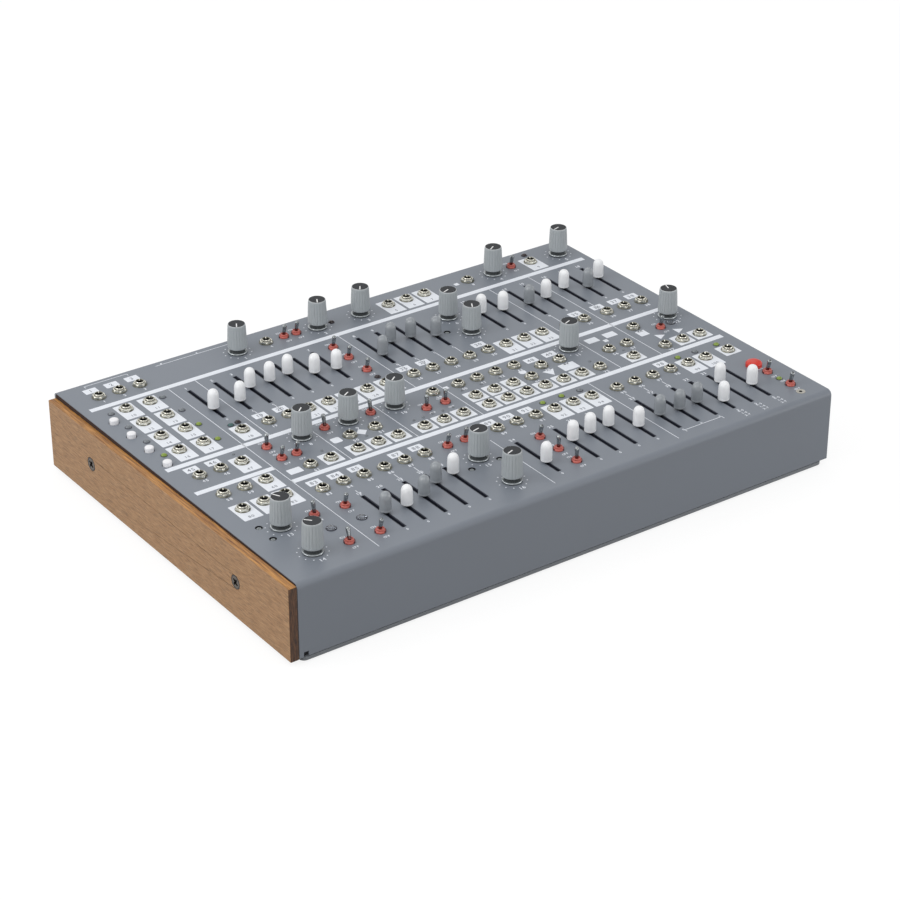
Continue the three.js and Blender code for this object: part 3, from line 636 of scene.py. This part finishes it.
# The barrel below the rim is black, painted shade in the gap under the nut; the inside of the mouth is the
# darker nickel, painted shade
mouth = turned([
    (2.3, -9), (3.0, -9), (3.0, 2.05), (3.14, 2.2), (3.1, 2.5), (2.94, 2.9), (2.8, 3.04), (2.66, 3.0),
    (2.52, 2.7), (2.3, 2.1)], 48, [0, 1, 1, 0, 0, 0, 0, 2, 2, 2])
# Bright blade at the rear of the bore: painted highlight, the glint down the mouth
glint_blade = moved(bar(-0.4, 0.4, -0.3, 0, -1.1, 0), 0.7, 2.2, 3.2, 0, -0.5)
bore_lining = turned([(1.75, -9), (2.27, -9), (2.27, 1.9), (2.15, 1.9), (2.1, 0.6), (1.75, 0.3)], 32, 1)
bore_floor = turned([(0, -9.2), (3.0, -9.2), (3.0, -9), (0, -9)], 24, 1)
nickel = coated("nickel", srgb(222, 220, 208), 0.17, metallic=1.0, blotch=0.3, blotch_size=0.9, grain=0.3,
                grain_size=0.25, spread=0.08)
# Darker nickel for the washer and the inside of the mouth: painted shade
shaded_nickel = coated("shaded_nickel", srgb(128, 127, 117), 0.34, metallic=1.0, blotch=0.3, blotch_size=1.5)
jack_parts = []
rng = random.Random(7)
for place in jacks:
    jack_parts.append(moved(nut, *on_drawing(*place), 0, rng.uniform(0, SIXTH)))
    jack_parts += set_out((washer, mouth, bore_lining, bore_floor, glint_blade), [place])
jack_nuts = built("jack_nuts", jack_parts, [nickel, black_moulding_and_shade, shaded_nickel], "case")
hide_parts("control_board")

# Toggle switches: a moulded salmon-red collar stands on the panel round a shallow well,
# with two dark arcs on its foot that are painted shade on its sides, and a chromed bat lever
# leans out of it, reddened at its foot as a painted reflection of the collar.
COLLAR_TOP = 2.7
LEAN = math.radians(13)
collar = turned([
    (0, 0.02), (3.45, 0.02), (3.6, 0.3), (3.55, 0.85), (3.3, 1.15), (2.95, 1.35), (2.78, 1.6), (2.88, 1.75),
    (2.92, 2.0), (2.82, 2.4), (2.55, 2.68), (2.25, 2.7), (2.05, 2.4), (1.95, 2.2), (0, 2.1)], 40)
# Two dark arcs at the collar's foot: painted shade on its sides
shade_arc = [math.radians(angle) for angle in range(-75, 6, 10)]
collar_shade = plate(
    [(3.72 * math.cos(a), 3.72 * math.sin(a)) for a in shade_arc] +
    [(3.2 * math.cos(a), 3.2 * math.sin(a)) for a in reversed(shade_arc)], [], 0.08, 1.2, 1)
lever = turned([
    (0, -1.2), (1.2, -1.2), (1.22, 0), (1.27, 2.0), (1.45, 5.4), (1.48, 6.5), (1.36, 7.15), (1.0, 7.55),
    (0, 7.7)], 24, [1, 1, 1, 0, 0, 0, 0, 0])
salmon = coated("salmon", srgb(192, 95, 84), 0.34, blotch=0.12, blotch_size=2, coat=0.2)
salmon_shade = coated("salmon_shade", srgb(96, 40, 40), 0.5, blotch=0.12, blotch_size=2)
chrome = coated("chrome", srgb(160, 164, 166), 0.16, metallic=1.0, blotch=0.45, blotch_size=0.9, grain=0.1)
# Reddish chrome at the lever's foot: painted reflection of the collar
chrome_red_reflection = coated(
    "chrome_red_reflection", srgb(138, 100, 97), 0.2, metallic=1.0, blotch=0.35, blotch_size=0.9, grain=0.1)
collars, levers = [], []
for x, y, lean in TOGGLES:
    place = on_drawing(x, y)
    collars += [moved(collar, *place), moved(collar_shade, *place), moved(collar_shade, *place, 0, math.pi)]
    levers.append(moved(lever, *place, COLLAR_TOP, 0, -lean * LEAN))
toggle_collars = built("toggle_collars", collars, [salmon, salmon_shade], "case")
toggle_levers = built("toggle_levers", levers, [chrome, chrome_red_reflection], "case")
for piece in (toggle_collars, toggle_levers):
    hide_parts("control_board")

# Printing: white ink pulled through a screen in one flat coat. Stripes part the rows,
# thin lines part the groups, and white blocks mark the outputs.
INK = 0.05
INK_ROUND = 0.6
STRIPES = [(6.5, 424.5, 262.5, 267.0), (6.5, 424.0, 162.6, 167.2), (6.5, 65.0, 126.2, 130.6),
           (65.0, 424.0, 104.2, 108.8)]
UPRIGHTS = [(65, 8, 262.5), (86.3, 167.2, 262.5), (203.3, 167.2, 262.5), (335.2, 108.8, 262.5),
            (371.2, 108.8, 262.5), (112, 108.8, 155), (164.7, 108.8, 162.6), (217.5, 108.8, 162.6),
            (200, 8, 78), (302.3, 8, 104.2)]
LINKS = [(x, 190, 203) for x in (95.8, 111.5, 213, 228.5, 244.3, 260, 345.3, 380.8)] + [(91.3, 67, 74)]
LINKS += [(x, 67, 77) for x in (123, 138.5, 313.3, 328.8, 344.8)]
LINE_WIDTH = 0.45
printed = []


def to_drawing(x, y):
    """The place on the drawing of a place on the panel, in millimetres."""
    return x * DRAWING_WIDTH / panel_width, y * DRAWING_DEPTH / panel_depth


def ink(x, y, width, depth, corner=0.0):
    """A block of ink centred on a place on the drawing."""
    real_x, real_y = on_drawing(x, y)
    printed.append(plate(oblong(real_x, real_y, width, depth, corner, 3), [], 0, INK))


def ink_disc(x, y, radius, sides=24, turn=0.0):
    real_x, real_y = on_drawing(x, y)
    printed.append(plate(ring(radius, sides, real_x, real_y, turn), [], 0, INK))


for x0, x1, y0, y1 in STRIPES:
    ink((x0 + x1) / 2, (y0 + y1) / 2, x1 - x0, y1 - y0)
for x, y0, y1 in UPRIGHTS + LINKS:
    ink(x, (y0 + y1) / 2, LINE_WIDTH, y1 - y0)

# Output tiles: tall ones reach below their jack to hold its number, square ones sit round it
TILE_WIDTH, TALL, SQUARE, TALL_SHIFT = 13.7, 21.0, 14.0, 3.5


def row(y, *along):
    """Places on the drawing at one height."""
    return [(x, y) for x in along]


tall_tiles = column_jacks + row(183.7, 75.5, *[127.5 + i * JACK_PITCH for i in range(5)])
tall_tiles += row(183.7, 292.2, 308.0, 323.7) + row(147.2, 52.5) + row(118.2, 52.5)
tall_tiles += row(95.2, 20.9, 36.7, 52.5) + row(87.8, 260.9, 276.7, 292.5) + row(87.3, 376.9, 392.7)
tall_tiles += row(283.5, 260.8, 276.6, 292.4) + row(282.7, 388.7)
square_tiles = row(118.2, 102.2, 123.4, 139.2, 155.0, 176.3, 192.1, 207.9)
square_tiles += row(118.2, *[229.2 + i * JACK_PITCH for i in range(6)]) + row(117.6, 353.2)
square_tiles += row(117.9, 397.6, 413.4) + row(133.6, 229.2, 245.0, 260.8) + row(87.1, 413.0)
for x, y in tall_tiles:
    ink(x, y - TALL_SHIFT, TILE_WIDTH, TALL, INK_ROUND)
for x, y in square_tiles:
    ink(x, y, TILE_WIDTH, SQUARE, INK_ROUND)

# Inverse labels: white boxes with the panel colour showing through as a number
BOX_WIDTH, BOX_DEPTH = 10.0, 6.8
boxes = row(290, 20.7, 36.8, 52.6) + row(157, 20.5, 36.5) + row(117.5, 74) + row(194, 95.5, 111.5)
boxes += row(194.5, 212.5, 228.5, 276) + row(193.5, 361, 381, 397, 412.5)
boxes += row(97.5, 75.5, 91.5, 107, 138.5, 154.5, 213, 228.3, 243.7, 360.7)
boxes += row(154, 291.3, 307.3) + row(153.5, 344.7, 360.7)
for x, y in boxes:
    ink(x, y, BOX_WIDTH, BOX_DEPTH, INK_ROUND)
ink(381, 142, 7.5, 8, INK_ROUND)
ink(307.3, 131.7, 13, 9.5, INK_ROUND)
ink(118, 136, 7, 7, 1.4)
for x, y in ((321, 283), (352.5, 147.5), (219.5, 154.5)):
    ink(x, y, 3.5, 3.5)
ink_disc(138, 136, 4.2, 4)
ink_disc(275.8, 143, 2.9, 8, math.pi / 8)
ink_disc(291.5, 132.5, 5.4, 3, -math.pi / 2)
ink_disc(388, 131, 4.4, 3)
ink_disc(404.5, 131, 4.4, 3)


def bracket(x0, x1, y, drop):
    """Line with a short stroke down at each end."""
    ink((x0 + x1) / 2, y, x1 - x0, LINE_WIDTH)
    for x in (x0, x1):
        ink(x, y - drop / 2, LINE_WIDTH, drop)


bracket(20, 53, 298, 2.5)
bracket(313, 345, 15, 2.5)
ink(105, 296.5, 60, LINE_WIDTH)
for x in (80, 108.5):
    ink_disc(x, 297.6, 0.7)

# Numbers: the jacks, knobs and slide controls are numbered in plain figures
FIGURE_HEIGHT, SMALL_FIGURE, SWITCH_FIGURE = 2.6, 2.0, 1.9
CAPITAL = 0.7
STROKE = 0.016
ADVANCE, NARROW = 0.62, {"1": 0.56, "-": 0.45}
figures = {}
for character in "0123456789-ONF":
    curve = bpy.data.curves.new("figure", "FONT")
    curve.body = character
    curve.size = 1
    curve.offset = STROKE
    curve.resolution_u = 3
    holder = added("figure", curve)
    bpy.context.view_layer.update()
    outline_mesh = holder.to_mesh()
    figures[character] = (
        [vertex.co.copy() for vertex in outline_mesh.vertices],
        [list(polygon.vertices) for polygon in outline_mesh.polygons])
    holder.to_mesh_clear()
    bpy.data.objects.remove(holder)
    bpy.data.curves.remove(curve)


def solid_figure(character, height, x, y, low, skin):
    """A figure as a thin closed solid, standing on a height above the panel."""
    flat, polygons = figures[character]
    count = len(flat)
    scale = height / CAPITAL
    points = [Vector((x + p.x * scale, y + p.y * scale, low + INK)) for p in flat]
    points += [Vector((x + p.x * scale, y + p.y * scale, low)) for p in flat]
    faces, seen = [], {}
    for polygon in polygons:
        loop = polygon if turning([(flat[i].x, flat[i].y) for i in polygon]) > 0 else polygon[::-1]
        faces.append(loop)
        faces.append([count + i for i in reversed(loop)])
        for a, b in zip(loop, loop[1:] + loop[:1]):
            seen[(a, b)] = True
    faces += [(count + a, count + b, b, a) for a, b in seen if (b, a) not in seen]
    return points, faces, [skin] * len(faces)


def write(text, x, y, height=FIGURE_HEIGHT, low=0.0, skin=0):
    """Writes figures centred on a place on the drawing."""
    real_x, real_y = on_drawing(x, y)
    steps = [NARROW.get(character, ADVANCE) * height / CAPITAL for character in text]
    cursor = real_x - sum(steps) / 2
    for character, step in zip(text, steps):
        printed.append(solid_figure(character, height, cursor, real_y - height / 2, low, skin))
        cursor += step


def on_a_tile(x, y, tiles):
    return any(abs(x - tile_x) < 2 and abs(y - tile_y) < 2 for tile_x, tile_y in tiles)


BELOW_JACK, DOWN_THE_TILE = 7.6, 10.4
for number, (x, y) in enumerate(sorted(jacks, key=lambda place: (-round(place[1] / 8), place[0])), 1):
    above = next((box for box in boxes if abs(box[0] - x) < 3 and 5 < box[1] - y < 14), None)
    if on_a_tile(x, y, tall_tiles):
        write(str(number), x, y - DOWN_THE_TILE, FIGURE_HEIGHT, INK, 1)
    elif above:
        write(str(number), *above, FIGURE_HEIGHT * 1.3, INK, 1)
        write(str(number), x, y - BELOW_JACK)
    elif not on_a_tile(x, y, square_tiles):
        write(str(number), x, y - BELOW_JACK)
for number, (x, y) in enumerate(slots, 1):
    write(str(number), *to_drawing(x, y + SLOT_LENGTH / 2 + 3.6))
    write("0", *to_drawing(x, y - SLOT_LENGTH / 2 - 3.2), SMALL_FIGURE)
SCALE_RADIUS, SCALE_DOT = 9.8, 0.48
for number, name in enumerate(knobs, 1):
    x, y = to_drawing(*centre_of(name))
    write(str(number), x, y - 11, FIGURE_HEIGHT * 1.15)
    for tick in range(11):
        angle = math.radians(240 - 30 * tick)
        ink_disc(x + SCALE_RADIUS * math.cos(angle), y + SCALE_RADIUS * math.sin(angle), SCALE_DOT, 10)
for x in (361, 377, 393):
    for number in range(3):
        write(f"{number}-{number + 5}", x, 14 - 3.5 * number, SMALL_FIGURE)
for x, y, lean in TOGGLES:
    write("ON", x - 0.8, y + 7.0, SWITCH_FIGURE)
    write("OFF", x, y - 7.2, SWITCH_FIGURE)
white_ink = coated(
    "white_ink", srgb(232, 236, 243), 0.5, blotch=0.02, blotch_size=6, grain=0.2, grain_size=0.4)
grey_ink = coated("grey_ink", srgb(146, 150, 158), 0.5, blotch=0.03, blotch_size=6)
printing = built("printing", printed, [white_ink, grey_ink], "case", panel_corner, 60)

# Lamps: small round indicators set in the panel, some lit green, some dark red, most
# unlit and smoky, each a moulded dome with a thin dark rim that is painted shade round it.
LAMP_STEPS = 24


def lamp(radius, height, skin):
    """A moulded dome on a stem that reaches down through the panel."""
    return turned([
        (0, -2.5), (radius, -2.5), (radius, 0.15), (radius * 0.94, height * 0.45),
        (radius * 0.75, height * 0.78), (radius * 0.42, height * 0.96), (0, height)], LAMP_STEPS, skin)


def lens_finish(name, colour, roughness, transmission, glow=0.0):
    """Clear or tinted plastic that lets some light through, and glows where it is lit."""
    material = coated(name, colour, roughness, blotch=0.12, blotch_size=1.2, grain=0.1, coat=0.3)
    shader = feed(material.node_tree.nodes["Principled BSDF"], {"Transmission Weight": transmission})
    if glow:
        feed(shader, {"Emission Color": colour + [1.0], "Emission Strength": glow})
    return material


green_lens = lens_finish("green_lens", srgb(130, 152, 58), 0.2, 0.1, 0.1)
red_lens = lens_finish("red_lens", srgb(30, 9, 15), 0.1, 0.1)
smoky_lens = lens_finish("smoky_lens", srgb(126, 132, 138), 0.2, 0.15)
teal_lens = lens_finish("teal_lens", srgb(70, 110, 110), 0.2, 0.3)
# Dark rim round every dome: painted shade outlining it
rim_painted_shade = coated("rim_painted_shade", srgb(58, 60, 70), 0.3, blotch=0.06, blotch_size=2)
lit = [(15.8, 183.5), (55.7, 182.5), (56, 207), (259.5, 99), (275.8, 99.5), (376.5, 98), (411.5, 98),
       (412.7, 33.7)]
dark_red = [(78.5, 194.5), (190.7, 194.6), (391.6, 294.3), (211.5, 283.5)]
unlit = [(15.8, 253), (15.8, 230), (15.8, 206), (56, 254), (57, 230.5), (291, 99), (392, 98)]
tiny = row(129.5, 102.5, 137.5) + row(129, 175, 182.5) + row(129.5, 190.5)
tiny += row(129, 198.5, 207, 323.5, 353.3) + row(158.5, 53) + row(145, 226, 242, 258)
lamp_rim = turned([(2.0, 0.01), (2.5, 0.01), (2.42, 0.2), (2.05, 0.26)], LAMP_STEPS, 4)
lamps = []
for skin, places in enumerate((lit, dark_red, unlit, [(72.5, 193.5)])):
    lamps += set_out((lamp(2.0, 1.5, skin), lamp_rim), places)
lamps += set_out([lamp(0.95, 0.8, 2)], tiny)
indicator_lamps = built(
    "indicator_lamps", lamps, [green_lens, red_lens, smoky_lens, teal_lens, rim_painted_shade], "case")

# Clear lenses and trimmers: three low clear domes with a thin dark rim, painted shade round
# each, over a pale core that shows through as a painted highlight; five small trimmer screws
# sunk in black wells, painted shade down the holes; and one flat plated ring round a dark socket.
clear_rim = turned([(3.0, 0), (3.65, 0), (3.6, 0.25), (3.35, 0.4), (3.1, 0.35), (3.0, 0.2)], 40)
clear_dome = turned(
    [(0, 0.1), (3.0, 0.1), (2.95, 0.6), (2.6, 1.15), (1.95, 1.5), (1.1, 1.68), (0, 1.75)], 40, 1)
# Pale core under the clear dome: painted highlight seen through it
lens_highlight_core = turned(
    [(0, -0.9), (3.0, -0.9), (3.0, -0.6), (1.5, -0.5), (1.1, 0.04), (0, 0.06)], 32, [3, 3, 3, 2, 2])
trimmer = plate(ring(1.5, 32), [oblong(0, 0, 2.3, 0.45)], -1.6, -0.5, 2)
# Black well lining the trimmer hole: painted shade
trimmer_shade_well = plate(ring(2.45, 32), [ring(2.2, 32)], -1.7, -0.05, 3)
trimmer_base = plate(ring(2.45, 32), [], -2.1, -1.7, 3)
socket_ring = turned([(1.2, 0.01), (3.2, 0.01), (3.25, 0.12), (3.1, 0.26), (1.5, 0.26), (1.2, 0.15)], 36, 4)
socket_floor = plate(ring(2.1, 28), [], -0.9, -0.4, 3)
small_parts = set_out((clear_rim, clear_dome, lens_highlight_core), ((53, 43.6), (75.7, 43.6), (408, 143.5)))
small_parts += [moved(part, *on_drawing(*place), 0, 0.6 + i) for i, place in enumerate(TRIMMERS)
                for part in (trimmer, trimmer_shade_well, trimmer_base)]
small_parts += set_out((socket_ring, socket_floor), [RINGED_SOCKET])
clear_plastic = lens_finish("clear_plastic", srgb(166, 172, 182), 0.05, 0.8)
trimmer_grey_and_highlight = coated("trimmer_grey_and_highlight", srgb(140, 146, 148), 0.35, blotch=0.12, blotch_size=1)
ring_beige = coated("ring_beige", srgb(176, 173, 164), 0.35, blotch=0.08, blotch_size=1)
small_fittings = built(
    "lenses_and_trimmers", small_parts,
    [rim_painted_shade, clear_plastic, trimmer_grey_and_highlight, black_moulding_and_shade, ring_beige], "case")

# Knobs: tapered grey caps with fine flutes over a glossy skirt, parted by a groove,
# with a flush black disc on top that carries the white pointer. Pushed onto the shaft.
# The top rim and the skirt's bevel are lighter, painted highlight; the rest of the skirt,
# the groove and the underside of the body are darker, painted shade.
KNOB_STEPS = 160
FLUTES, FLUTE_DEPTH, FLUTE_FOOT, FLUTE_TOP = 20, 0.05, 4.2, 21.2
SHAFT_BOTTOM = board_top + HOUSING[2] + CLEARANCE
shared_meshes = {}


def flute(angle, height):
    """Radius of the fluted body over that of its ridges, fading out at both ends."""
    fade = min(max((height - FLUTE_FOOT) / 1.2, 0), max((FLUTE_TOP - height) / 0.8, 0), 1)
    return 1 - FLUTE_DEPTH * fade * (0.5 + 0.5 * math.cos(FLUTES * angle)) ** 5


def control_cap(kind, name, parts, finishes, place, sharp=38.0):
    """The cap of a control, riding on its own body, with one mesh for all of a kind."""
    if kind in shared_meshes:
        return placed("cap_" + name, shared_meshes[kind], name, place)
    piece = built("cap_" + name, parts, finishes, name, place, sharp)
    shared_meshes[kind] = piece.data
    return piece


knob_profile = [
    (0, SHAFT_BOTTOM), (3, SHAFT_BOTTOM), (3, 0.3), (6.5, 0.3), (6.9, 0.4), (7.0, 0.7), (6.98, 1.0),
    (6.75, 1.35), (6.3, 1.55), (5.7, 1.6), (5.3, 1.65), (5.3, 4.2), (6.35, 4.2), (6.85, 4.4), (7.0, 4.8),
    (7.0, 5.8), (6.86, 10), (6.64, 15), (6.36, 20.4), (6.24, 21.2), (6.14, 21.7), (6.0, 22.0),
    (5.85, 22.08), (5.75, 22.08), (5.72, 22.12), (0, 22.12)]
# Lighter rim and skirt bevel: painted highlight; darker skirt, groove and underside: painted shade
knob_skins = [0, 0, 6, 6, 6, 6, 3, 3, 6, 6, 5, 5] + [0] * 8 + [1, 1, 1, 2, 2]
knob_body = turned(knob_profile, KNOB_STEPS, knob_skins, flute)
pointer = bar(-0.42, 0.42, 0, 5.3, 22.1, 22.18, 4)
knob_grey = coated("knob_grey", srgb(174, 180, 183), 0.4, blotch=0.03, blotch_size=5)
knob_rim_highlight = coated("knob_rim_highlight", srgb(188, 192, 194), 0.3, blotch=0.03, blotch_size=4)
cap_black = coated(
    "cap_black", srgb(54, 56, 59), 0.6, blotch=0.1, blotch_size=1.5, grain=0.3, grain_size=0.3, specular=0.3)
skirt_highlight = coated(
    "skirt_highlight", srgb(184, 190, 193), 0.14, metallic=0.5, blotch=0.04, blotch_size=5, coat=0.8)
skirt_shade = coated(
    "skirt_shade", srgb(108, 114, 117), 0.2, metallic=0.5, blotch=0.04, blotch_size=5, coat=0.5)
groove_shade = coated("groove_shade", srgb(64, 68, 70), 0.5, blotch=0.1, blotch_size=2)
pointer_white = coated("pointer_white", srgb(236, 236, 236), 0.5, blotch=0.04, blotch_size=1)
knob_finishes = [knob_grey, knob_rim_highlight, cap_black, skirt_highlight, pointer_white, groove_shade, skirt_shade]
for name in knobs:
    joint = next(j for j in frame["joints"] if j["child"] == name)
    cap = control_cap("knob", name, [knob_body, pointer], knob_finishes, Vector(joint["pos_m"]), 30)
    cap.rotation_euler.z = -math.radians(sum(joint["range_deg"]) / 2)
    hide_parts(name)

# Slide caps: smooth round-topped caps pushed onto flat steel levers that run in the slots,
# moulded in white or grey with a faint parting line near the foot.
cap_body = turned([
    (0, 1.6), (3.35, 1.6), (3.76, 1.8), (3.92, 2.2), (3.92, 2.9), (3.85, 3.0), (3.9, 3.15), (3.88, 7),
    (3.83, 10.3), (3.74, 11.5), (3.5, 12.6), (3.06, 13.6), (2.42, 14.38), (1.6, 14.9), (0.8, 15.14),
    (0, 15.2)], 48)
stem = bar(-0.75, 0.75, -1.0, 1.0, board_top + TRACK[2] + CLEARANCE, 1.6, 1)
cap_white = coated("cap_white", srgb(246, 248, 251), 0.34, blotch=0.01, blotch_size=3, grain=0.12, coat=0.1)
feed(cap_white.node_tree.nodes["Principled BSDF"], {
    "Subsurface Weight": 0.35, "Subsurface Scale": 4 * MM, "Subsurface Radius": (1, 1, 1)})
cap_grey = coated("cap_grey", srgb(148, 153, 158), 0.2, blotch=0.03, blotch_size=3, grain=0.12, coat=0.5)
dark_steel = coated("dark_steel", srgb(30, 31, 34), 0.4, metallic=0.6, blotch=0.1, blotch_size=1.5)
colour_of = {row["node"]: row["material_slot"] for row in frame["record"]["subparts"]}
for name in sliders:
    colour = colour_of[name]
    finish = cap_white if colour == "cap_white" else cap_grey
    place = panel_corner + Vector((*centre_of(name), 0)) * MM
    cap = control_cap(colour, name, [cap_body, stem], [finish, dark_steel], place)
    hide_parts(name)

# Push buttons: four small white ones and a larger red one, glossy round plungers that
# stand through the panel over their switches.
SWITCH_HEIGHT = 5.8


def plunger(radius, top, crown):
    """A round button from its switch up to a domed crown."""
    low = board_top + SWITCH_HEIGHT + CLEARANCE
    arc = [math.radians(angle) for angle in range(0, 90, 10)]
    dome = [(radius * math.cos(angle) ** 0.6, top - crown + crown * math.sin(angle)) for angle in arc]
    return turned([(0, low), (radius, low)] + dome + [(0, top)], 48)


white_cap = coated("white_cap", srgb(240, 240, 243), 0.25, blotch=0.03, blotch_size=3, grain=0.1, coat=0.3)
red_cap = coated("red_cap", srgb(214, 52, 38), 0.34, blotch=0.05, blotch_size=4, grain=0.1, coat=0.1)
buttons = [(name, (3.08, 3.3, 0.9), white_cap, "button_white") for name in white_buttons]
buttons.append(("red_button", (5.75, 4.0, 2.2), red_cap, "button_red"))
for name, sizes, finish, slot in buttons:
    place = panel_corner + Vector((*centre_of(name), 0)) * MM
    button = built("cap_" + name, [plunger(*sizes)], [finish], name, place)
    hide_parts(name)

# Studio: a pale paper floor that keeps the shadow of the case, a white surround that dims
# towards the horizon and mirrors with darker gaps, and soft lamps left, right and in front.
FLOOR_SIZE = 12


def larger(tree, first, second):
    """The larger of two values."""
    most = feed(tree.nodes.new("ShaderNodeMath"), {0: first, 1: second})
    most.operation = "MAXIMUM"
    return most.outputs[0]


def seen_directly(tree, ray, unseen, seen):
    """A strength at one level for rays that show the background, at another for the rest."""
    mirrored = larger(tree, ray["Is Glossy Ray"], ray["Is Transmission Ray"])
    shown = larger(tree, ray["Is Camera Ray"], mirrored)
    return wired(tree, "MapRange", "Result", {"To Min": unseen, "To Max": seen, "Value": shown})


paper, paper_tree = fresh("paper")
matt = feed(paper_tree.nodes["Principled BSDF"], {
    "Base Color": (0.2, 0.2, 0.2, 1), "Roughness": 0.9, "Specular IOR Level": 0.0})
paper_ray = paper_tree.nodes.new("ShaderNodeLightPath").outputs
glow = wired(paper_tree, "Emission", 0, {"Strength": seen_directly(paper_tree, paper_ray, 0.0, 0.84)})
both = wired(paper_tree, "AddShader", 0, {0: matt.outputs[0], 1: glow})
feed(paper_tree.nodes["Material Output"], {"Surface": both})
floor_mesh = bpy.data.meshes.new("floor")
floor_mesh.from_pydata([(x, y, 0) for x, y in oblong(0, 0, FLOOR_SIZE, FLOOR_SIZE)], [], [(0, 1, 2, 3)])
floor_mesh.materials.append(paper)
floor = added("floor", floor_mesh)

world = bpy.data.worlds.new("surround")
bpy.context.scene.world = world
world.use_nodes = True
sky = world.node_tree
sky_ray = sky.nodes.new("ShaderNodeLightPath").outputs
direction = wired(sky, "TexCoord", "Generated", {})
skyward = wired(sky, "SeparateXYZ", "Z", {"Vector": direction})
dusk = wired(sky, "MapRange", "Result", {"To Min": 0.5, "To Max": 0.89, "Value": skyward})
gaps = wired(sky, "TexNoise", "Fac", {"Scale": 1.9, "Detail": 1, "Vector": direction})
mirrored_sky = wired(sky, "MapRange", "Result", {
    "From Min": 0.42, "From Max": 0.56, "To Min": 0.3, "Value": gaps})
whole_sky = larger(sky, mirrored_sky, sky_ray["Is Camera Ray"])
feed(sky.nodes["Background"], {
    "Color": (1, 1, 1, 1), "Strength": seen_directly(sky, sky_ray, dusk, whole_sky)})


def softbox(name, place, size, watts):
    """A square lamp aimed at the middle of the floor."""
    light = bpy.data.lights.new(name, "AREA")
    light.shape = "SQUARE"
    light.size = size
    light.energy = watts
    holder = added(name, light)
    holder.location = place
    holder.rotation_euler = (-Vector(place)).to_track_quat("-Z", "Y").to_euler()


softbox("left_softbox", (-1.4, 0.25, 0.95), 1.0, 7.5)
softbox("right_softbox", (0.7, -0.65, 0.12), 0.4, 0.9)
softbox("front_softbox", (-0.75, -1.1, 1.6), 1.2, 5)

bpy.context.scene.view_settings.view_transform = "Standard"
